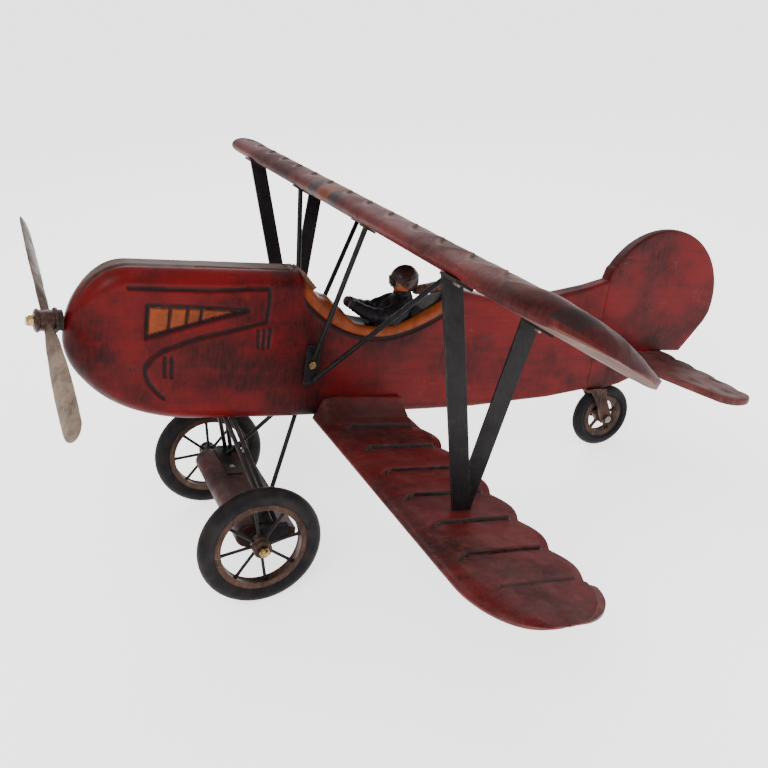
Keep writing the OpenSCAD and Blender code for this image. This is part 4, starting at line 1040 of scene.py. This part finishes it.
def arm_surface(side):
    """A sleeve along shoulder, elbow and wrist with creases bunched at the elbow, ending in a gloved fist."""
    path = spline([(329, side * 10.5, -31.5), (320, side * 13.8, -37), (304, side * 15.2, -43.5),
                   (288, side * 12.5, -41), (276, side * 7.4, -36), (270, side * 5.6, -34)], 90)
    f = np.linspace(0, 1, 90)
    radius = np.interp(f, [0, 0.12, 0.35, 0.55, 0.78, 0.82, 0.86, 0.93, 0.985, 1],
                       [6.4, 8.2, 8.0, 7.2, 5.8, 6.0, 4.6, 5.2, 3.8, 0.4])
    loops = tube(path, radius, 40)
    a = ring(40)[None, :]
    crease = 0.42 * np.sin(46 * f[:, None] + 2 * np.sin(a + side))
    crease = crease * np.exp(-(((f[:, None] - 0.42) / 0.2) ** 2))
    middle = path[:, None]
    body = loops[1:-1]
    away = body - middle
    body = body + away / np.maximum(np.linalg.norm(away, axis=-1, keepdims=True), 1e-6) * crease[..., None]
    paint = np.zeros(body.shape[:2] + (4,))
    # Painted shade in the sleeve's inward creases; the gloved fist in the second channel.
    paint[..., 0] = np.clip(-crease * 1.6, 0, 1)
    paint[..., 1] = (f[:, None] > 0.84) * 0.55
    points = np.concatenate([loops[:1], body, loops[-1:]])
    return points, np.concatenate([paint[:1], paint, paint[-1:]])


def collar_surface():
    """A turned-up collar: a leaning torus with a flattened section."""
    a, b = ring(72)[:, None], ring(20)[None, :]
    r = 7.6 + (1.7 + 0.3 * np.sin(3 * a)) * np.cos(b)
    h = 2.4 * np.sin(b) - 0.8 * np.cos(a)
    return np.stack([329.5 + r * np.cos(a), r * 0.98 * np.sin(a), -23.5 + h * np.ones_like(a)], -1)


def bolster_surface(puff):
    """A leather roll that tapers forward, pinched by three stitched seams and gathered at both ends."""
    f = np.linspace(0, 1, 120)
    back, front = np.array([391.0, 0, -11.5]), np.array([341.0, 0, -20.4])
    path = back + f[:, None] * (front - back)
    radius = 6.5 - 2.0 * f
    radius = radius * np.clip(1 - np.abs(2 * f - 1) ** 14, 0.05, 1) ** 0.5
    for at in (0.27, 0.52, 0.77):
        radius = radius - 0.55 * np.exp(-(((f - at) / 0.012) ** 2))
        radius = radius + puff * 0.25 * np.exp(-(((f - at) / 0.05) ** 2))
    loops = tube(path, radius, 56, 1.25)
    body = loops[1:-1]
    body[..., 2] += 0.22 * ripple(body[..., 0], body[..., 1], body[..., 2], 11, 4)
    seam = np.max([np.exp(-(((f - at) / 0.014) ** 2)) for at in (0.27, 0.52, 0.77)], 0)
    paint = np.zeros(body.shape[:2] + (4,))
    paint[..., 0] = 0.7 * seam[:, None]
    points = np.concatenate([loops[:1], body, loops[-1:]])
    return points, np.concatenate([paint[:1], paint, paint[-1:]])


def fairing_surface():
    """A wooden aerofoil between the wheels: half-round nose, flat waist and a thin tail, with softened
    ends."""
    chord, thick, mid, half = 60.0, 24.0, 181.0, 85.0
    a = np.radians(np.linspace(90, 270, 40))
    nose = np.stack([-chord / 2 + thick / 2 + thick / 2 * np.cos(a), thick / 2 * np.sin(a)], -1)
    f = np.linspace(0, 1, 26)[1:, None]
    low = np.array([[-18, -12]]) + f * np.array([[24, 0]])
    tail = np.array([[6, -12]]) + f * np.array([[24, 8]])
    end = np.array([[30, -4]]) + f[::4] * np.array([[0, 8]])
    back = np.array([[30, 4]]) + f * np.array([[-24, 8]])
    top = np.array([[6, 12]]) + f[:-1] * np.array([[-24, 0]])
    loop = np.concatenate([nose, low, tail, end, back, top])
    y = np.r_[-half + 3 * (1 - np.cos(np.linspace(0, np.pi / 2, 6))),
              np.linspace(-half + 3, half - 3, 80)[1:-1],
              half - 3 * (1 - np.cos(np.linspace(np.pi / 2, 0, 6)))]
    soft = 1 - 0.06 * np.clip((np.abs(y) - (half - 3)) / 3, 0, 1) ** 2
    x = mid + loop[None, :, 0] * soft[:, None]
    z = -243 + loop[None, :, 1] * soft[:, None] + 0.25 * ripple(loop[None, :, 0], y[:, None], 0, 40, 3)
    paint = np.zeros(x.shape + (4,))
    # Painted shade at both ends, beside the wheels.
    paint[..., 3] = 0.6 * smooth(68, 84, np.abs(y))[:, None]
    paint[..., 2] = 0.25 * (z > -232.5) * smooth(0.1, 0.7, ripple(x, y[:, None], z, 80, 6))
    points = capped(np.stack([x, y[:, None] * np.ones_like(x), z], -1))
    return points, np.concatenate([paint[:1], paint, paint[-1:]])


# ---------------------------------------------------------------- settings
class BiplaneCarving(bpy.types.PropertyGroup):
    """Depths of the carved lines."""

    groove_depth: bpy.props.FloatProperty(
        name="Groove depth", description="Depth of the carved lines, in millimetres",
        default=1.3, min=0.2, max=2.5
    )
    bolster_puff: bpy.props.FloatProperty(
        name="Bolster fullness", description="How far the padding swells beside each seam",
        default=1.0, min=0, max=2
    )


class BiplaneStage(bpy.types.PropertyGroup):
    """Floor, lamps and camera."""

    lens: bpy.props.FloatProperty(name="Lens", description="Focal length of the camera", default=42.75,
                                  unit="CAMERA")
    key_power: bpy.props.FloatProperty(name="Key lamp", description="Power of the key lamp in watts",
                                       default=24.0)
    sky: bpy.props.FloatProperty(name="Sky", description="Strength of the white surround", default=1.15)


# ---------------------------------------------------------------- operators
class BIPLANE_OT_fuselage(bpy.types.Operator):
    """Carves the fuselage slab."""

    bl_idname = "biplane.fuselage"
    bl_label = "Fuselage"

    def execute(self, context):
        points, paint = fuselage_surface(context.scene.biplane_carving.groove_depth)
        build("Fuselage", [(points, paint, False)], "red_body", ["fuselage"], 50)
        return {"FINISHED"}


class BIPLANE_OT_tail(bpy.types.Operator):
    """Cuts the tail board and the tailplane."""

    bl_idname = "biplane.tail"
    bl_label = "Tail"

    def execute(self, context):
        build("Tail fin", [(fin_surface(), None, False)], "red_body", ["tail_fin"])
        points, paint = tailplane_surface()
        build("Tailplane", [(points, paint, False)], "tail_wood", ["tailplane"])
        return {"FINISHED"}


class BIPLANE_OT_upper_wing(bpy.types.Operator):
    """Carves the upper wing."""

    bl_idname = "biplane.upper_wing"
    bl_label = "Upper wing"

    def execute(self, context):
        points, paint = upper_wing_surface()
        build("Upper wing", [(points, paint, False)], "red_wing", ["upper_wing"], 55)
        return {"FINISHED"}


class BIPLANE_OT_lower_wings(bpy.types.Operator):
    """Carves the two lower wings."""

    bl_idname = "biplane.lower_wings"
    bl_label = "Lower wings"

    def execute(self, context):
        for side, name in ((-1, "left"), (1, "right")):
            points, paint = lower_wing_surface(side)
            build(f"Lower wing {name}", [(points, paint, False)], "red_lower", [f"lower_wing_{name}"], 55)
        return {"FINISHED"}


class BIPLANE_OT_fairing(bpy.types.Operator):
    """Shapes the wooden axle fairing."""

    bl_idname = "biplane.fairing"
    bl_label = "Axle fairing"

    def execute(self, context):
        points, paint = fairing_surface()
        build("Axle fairing", [(points, paint, False)], "fairing_wood", ["axle_fairing"])
        return {"FINISHED"}


class BIPLANE_OT_wheels(bpy.types.Operator):
    """Turns the two main wheels."""

    bl_idname = "biplane.wheels"
    bl_label = "Main wheels"

    def execute(self, context):
        for side, name in ((-1, "left"), (1, "right")):
            tyre, rim, hub, rods = wheel_grids(side)
            paint = np.zeros(tyre.shape[:2] + (4,))
            paint[..., 1] = 0.2 * smooth(-0.3, 0.6, ripple(tyre[..., 0], tyre[..., 1], tyre[..., 2], 34, 5))
            build(f"Tyre {name}", [(tyre, paint, True)], "tyre_rubber", [f"tyre_{name}"])
            build(f"Rim {name}", [(rim, None, True)], "brown_iron", [f"rim_{name}"])
            build(f"Hub {name}", [(hub, None, True)], "brown_iron", [f"hub_{name}"])
            build(f"Spokes {name}", [(g, None, False) for g in rods], "black_iron", [f"spokes_{name}"])
        return {"FINISHED"}


class BIPLANE_OT_tail_wheel(bpy.types.Operator):
    """Turns the tail wheel's tyre and its pierced disc."""

    bl_idname = "biplane.tail_wheel"
    bl_label = "Tail wheel"

    def execute(self, context):
        axis = np.array([0, 1.0, 0])
        tyre = turned(tyre_profile(38.5, 14.0, 26.4), TAIL_AXLE, axis, 128)
        build("Tail tyre", [(tyre, None, True)], "tyre_rubber", ["tail_tyre"])
        ring_part = rounded_profile([(19.5, -5), (26.4, -5), (26.4, 5), (19.5, 5), (20.6, 2), (20.6, -2)],
                                    1.2)
        hub_part = rounded_profile([(2.6, -6), (7.5, -6), (8.2, -3), (8.2, 3), (7.5, 6), (2.6, 6)], 1.0)
        grids = [(turned(ring_part, TAIL_AXLE, axis, 128), None, True),
                 (turned(hub_part, TAIL_AXLE, axis, 64), None, True)]
        along = np.linspace(0, 1, 18)
        for k in range(5):
            a = 0.35 + k * 2 * math.pi / 5
            way = np.array([math.cos(a), 0, math.sin(a)])
            path = TAIL_AXLE + (6.5 + along[:, None] * 14.6) * way
            width = 2.0 + 0.9 * np.exp(-((along / 0.2) ** 2)) + 0.9 * np.exp(-(((along - 1) / 0.2) ** 2))
            grids.append((tube(path, width, 20, 0.9), None, False))
        build("Tail rim", grids, "brown_iron", ["tail_rim"])
        return {"FINISHED"}


class BIPLANE_OT_propeller(bpy.types.Operator):
    """Casts the propeller's blades and hub."""

    bl_idname = "biplane.propeller"
    bl_label = "Propeller"

    def execute(self, context):
        grids = []
        for k in (0, 1):
            points = blade_surface(math.radians(PROPELLER_REST + 180 * k))
            paint = np.zeros(points.shape[:2] + (4,))
            gap = np.linalg.norm(points - SHAFT_ROOT, axis=-1)
            # Darker towards the hub; the first blade carries painted shade all over.
            paint[..., 0] = np.clip(0.85 * smooth(56, 14, gap) + (0.0 if k else 0.45), 0, 1)
            grids.append((points, paint, False))
        build("Propeller blades", grids, "cast_alloy", ["propeller_blades"])
        hub = turned(hub_profile(), SHAFT_ROOT, SHAFT_WAY, 96, (0, 0, 1))
        build("Propeller hub", [(hub, None, True)], "bronze", ["propeller_hub"])
        return {"FINISHED"}


class BIPLANE_OT_pilot(bpy.types.Operator):
    """Models the pilot: trunk, arms, collar, head and goggles."""

    bl_idname = "biplane.pilot"
    bl_label = "Pilot"

    def execute(self, context):
        grids = [(*torso_surface(), False)] + [(*arm_surface(s), False) for s in (-1, 1)]
        grids.append((collar_surface(), None, True))
        build("Pilot body", grids, "jacket_paint", ["pilot_body"], 60)
        points, paint = head_surface()
        build("Pilot head", [(points, paint, False)], "helmet_paint", ["pilot_head"], 60)
        cups = goggle_grids()
        frames = [(g, None, True) for g, lens in cups if not lens]
        glass = [(g, None, True) for g, lens in cups if lens]
        build("Goggle frames", frames, "goggle_frame", ["pilot_goggles"])
        build("Goggle lenses", glass, "tyre_rubber", ["pilot_goggles"], stands_in=False)
        return {"FINISHED"}


class BIPLANE_OT_bolster(bpy.types.Operator):
    """Stuffs the leather roll behind the pilot."""

    bl_idname = "biplane.bolster"
    bl_label = "Bolster"

    def execute(self, context):
        points, paint = bolster_surface(context.scene.biplane_carving.bolster_puff)
        piece = build("Bolster", [(points, paint, False)], "brown_leather", ["cockpit_bolster"], 60)
        return {"FINISHED"}


class BIPLANE_OT_fittings(bpy.types.Operator):
    """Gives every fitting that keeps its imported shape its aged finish."""

    bl_idname = "biplane.fittings"
    bl_label = "Fittings"

    def execute(self, context):
        plain = {"brown_iron": "fork_iron"}
        for name, node in frame["nodes"].items():
            if node.hide_render:
                continue
            slot = SLOT_OF[name]
            node.data.materials.clear()
            node.data.materials.append(MATERIALS[plain.get(slot, slot)])
        return {"FINISHED"}


class BIPLANE_OT_stage(bpy.types.Operator):
    """Sets the floor, lamps, surround and camera."""

    bl_idname = "biplane.stage"
    bl_label = "Stage"

    def execute(self, context):
        settings = context.scene.biplane_stage
        size = 40.0
        mesh = bpy.data.meshes.new("Floor")
        mesh.from_pydata([(-size, -size, 0), (size, -size, 0), (size, size, 0), (-size, size, 0)], [],
                         [(0, 1, 2, 3)])
        floor = bpy.data.objects.new("Floor", mesh)
        context.scene.collection.objects.link(floor)
        pale = bpy.data.materials.new("Pale floor")
        pale.use_nodes = True
        surface = pale.node_tree.nodes["Principled BSDF"]
        surface.inputs["Base Color"].default_value = (0.95, 0.95, 0.95, 1)
        surface.inputs["Roughness"].default_value = 0.8
        surface.inputs["Emission Color"].default_value = (1, 1, 1, 1)
        surface.inputs["Emission Strength"].default_value = 1.6
        mesh.materials.append(pale)
        for name, at, width, power, tint in (
            ("Key", (-1.1, -1.3, 1.7), 1.1, settings.key_power, (1.0, 0.97, 0.94)),
            ("Fill", (1.5, -1.2, 0.9), 1.4, settings.key_power * 0.4, (0.95, 0.97, 1.0)),
            ("Rim", (0.4, 1.5, 1.6), 1.2, settings.key_power * 0.6, (1.0, 1.0, 1.0)),
        ):
            lamp = bpy.data.lights.new(name, "AREA")
            lamp.size, lamp.energy, lamp.color = width, power, tint
            holder = bpy.data.objects.new(name, lamp)
            holder.location = at
            holder.rotation_euler = (Vector((0, 0, 0.18)) - Vector(at)).to_track_quat("-Z", "Y").to_euler()
            context.scene.collection.objects.link(holder)
        world = bpy.data.worlds.new("Surround")
        world.use_nodes = True
        world.node_tree.nodes["Background"].inputs[0].default_value = (1, 1, 1, 1)
        world.node_tree.nodes["Background"].inputs[1].default_value = settings.sky
        context.scene.world = world
        self.camera(context, settings)
        return {"FINISHED"}

    def camera(self, context, settings):
        """Stands the camera off the port bow, rolled a little, with its axes turned by the airframe's
        pitch."""
        a, e, roll = (math.radians(v) for v in CAMERA_TURN)
        level = np.array([math.cos(a), math.sin(a), 0])
        back = np.array([math.sin(a) * math.cos(e), -math.cos(a) * math.cos(e), math.sin(e)])
        rise = np.cross(back, level)
        right = math.cos(roll) * level + math.sin(roll) * rise
        up = -math.sin(roll) * level + math.cos(roll) * rise
        spot = place(np.array([CAMERA_SPOT]))[0]
        right, up, back = TURN @ right, TURN @ up, TURN @ back
        eye = bpy.data.cameras.new("Camera")
        eye.lens, eye.sensor_width, eye.clip_start = settings.lens, 36.0, 0.01
        eye.shift_x, eye.shift_y = -0.0032, -0.0025
        holder = bpy.data.objects.new("Camera", eye)
        turn = Matrix([[right[0], up[0], back[0]], [right[1], up[1], back[1]], [right[2], up[2], back[2]]])
        holder.matrix_world = Matrix.Translation(Vector(spot)) @ turn.to_4x4()
        context.scene.collection.objects.link(holder)
        context.scene.camera = holder


class BIPLANE_PT_panel(bpy.types.Panel):
    """Sidebar panel with the settings and one button per piece."""

    bl_label = "Carved biplane"
    bl_idname = "BIPLANE_PT_panel"
    bl_space_type = "VIEW_3D"
    bl_region_type = "UI"
    bl_category = "Biplane"

    def draw(self, context):
        carving, stage = context.scene.biplane_carving, context.scene.biplane_stage
        self.layout.prop(carving, "groove_depth")
        self.layout.prop(carving, "bolster_puff")
        self.layout.prop(stage, "lens")
        self.layout.prop(stage, "key_power")
        self.layout.prop(stage, "sky")
        for operator in OPERATORS:
            self.layout.operator(operator.bl_idname)


OPERATORS = (BIPLANE_OT_fuselage, BIPLANE_OT_tail, BIPLANE_OT_upper_wing, BIPLANE_OT_lower_wings,
             BIPLANE_OT_fairing, BIPLANE_OT_wheels, BIPLANE_OT_tail_wheel, BIPLANE_OT_propeller,
             BIPLANE_OT_pilot, BIPLANE_OT_bolster, BIPLANE_OT_fittings, BIPLANE_OT_stage)
CLASSES = (BiplaneCarving, BiplaneStage, *OPERATORS, BIPLANE_PT_panel)


def register():
    """Registers the classes and hangs the settings on the scene."""
    for cls in CLASSES:
        bpy.utils.register_class(cls)
    bpy.types.Scene.biplane_carving = bpy.props.PointerProperty(type=BiplaneCarving)
    bpy.types.Scene.biplane_stage = bpy.props.PointerProperty(type=BiplaneStage)


def unregister():
    """Removes the settings and classes again."""
    del bpy.types.Scene.biplane_stage
    del bpy.types.Scene.biplane_carving
    for cls in reversed(CLASSES):
        bpy.utils.unregister_class(cls)


def main():
    """Builds every piece in order."""
    register()
    make_materials()
    for operator in OPERATORS:
        group, name = operator.bl_idname.split(".")
        if getattr(getattr(bpy.ops, group), name)() != {"FINISHED"}:
            raise RuntimeError(f"{operator.bl_idname} did not finish")


if __name__ == "__main__":
    main()
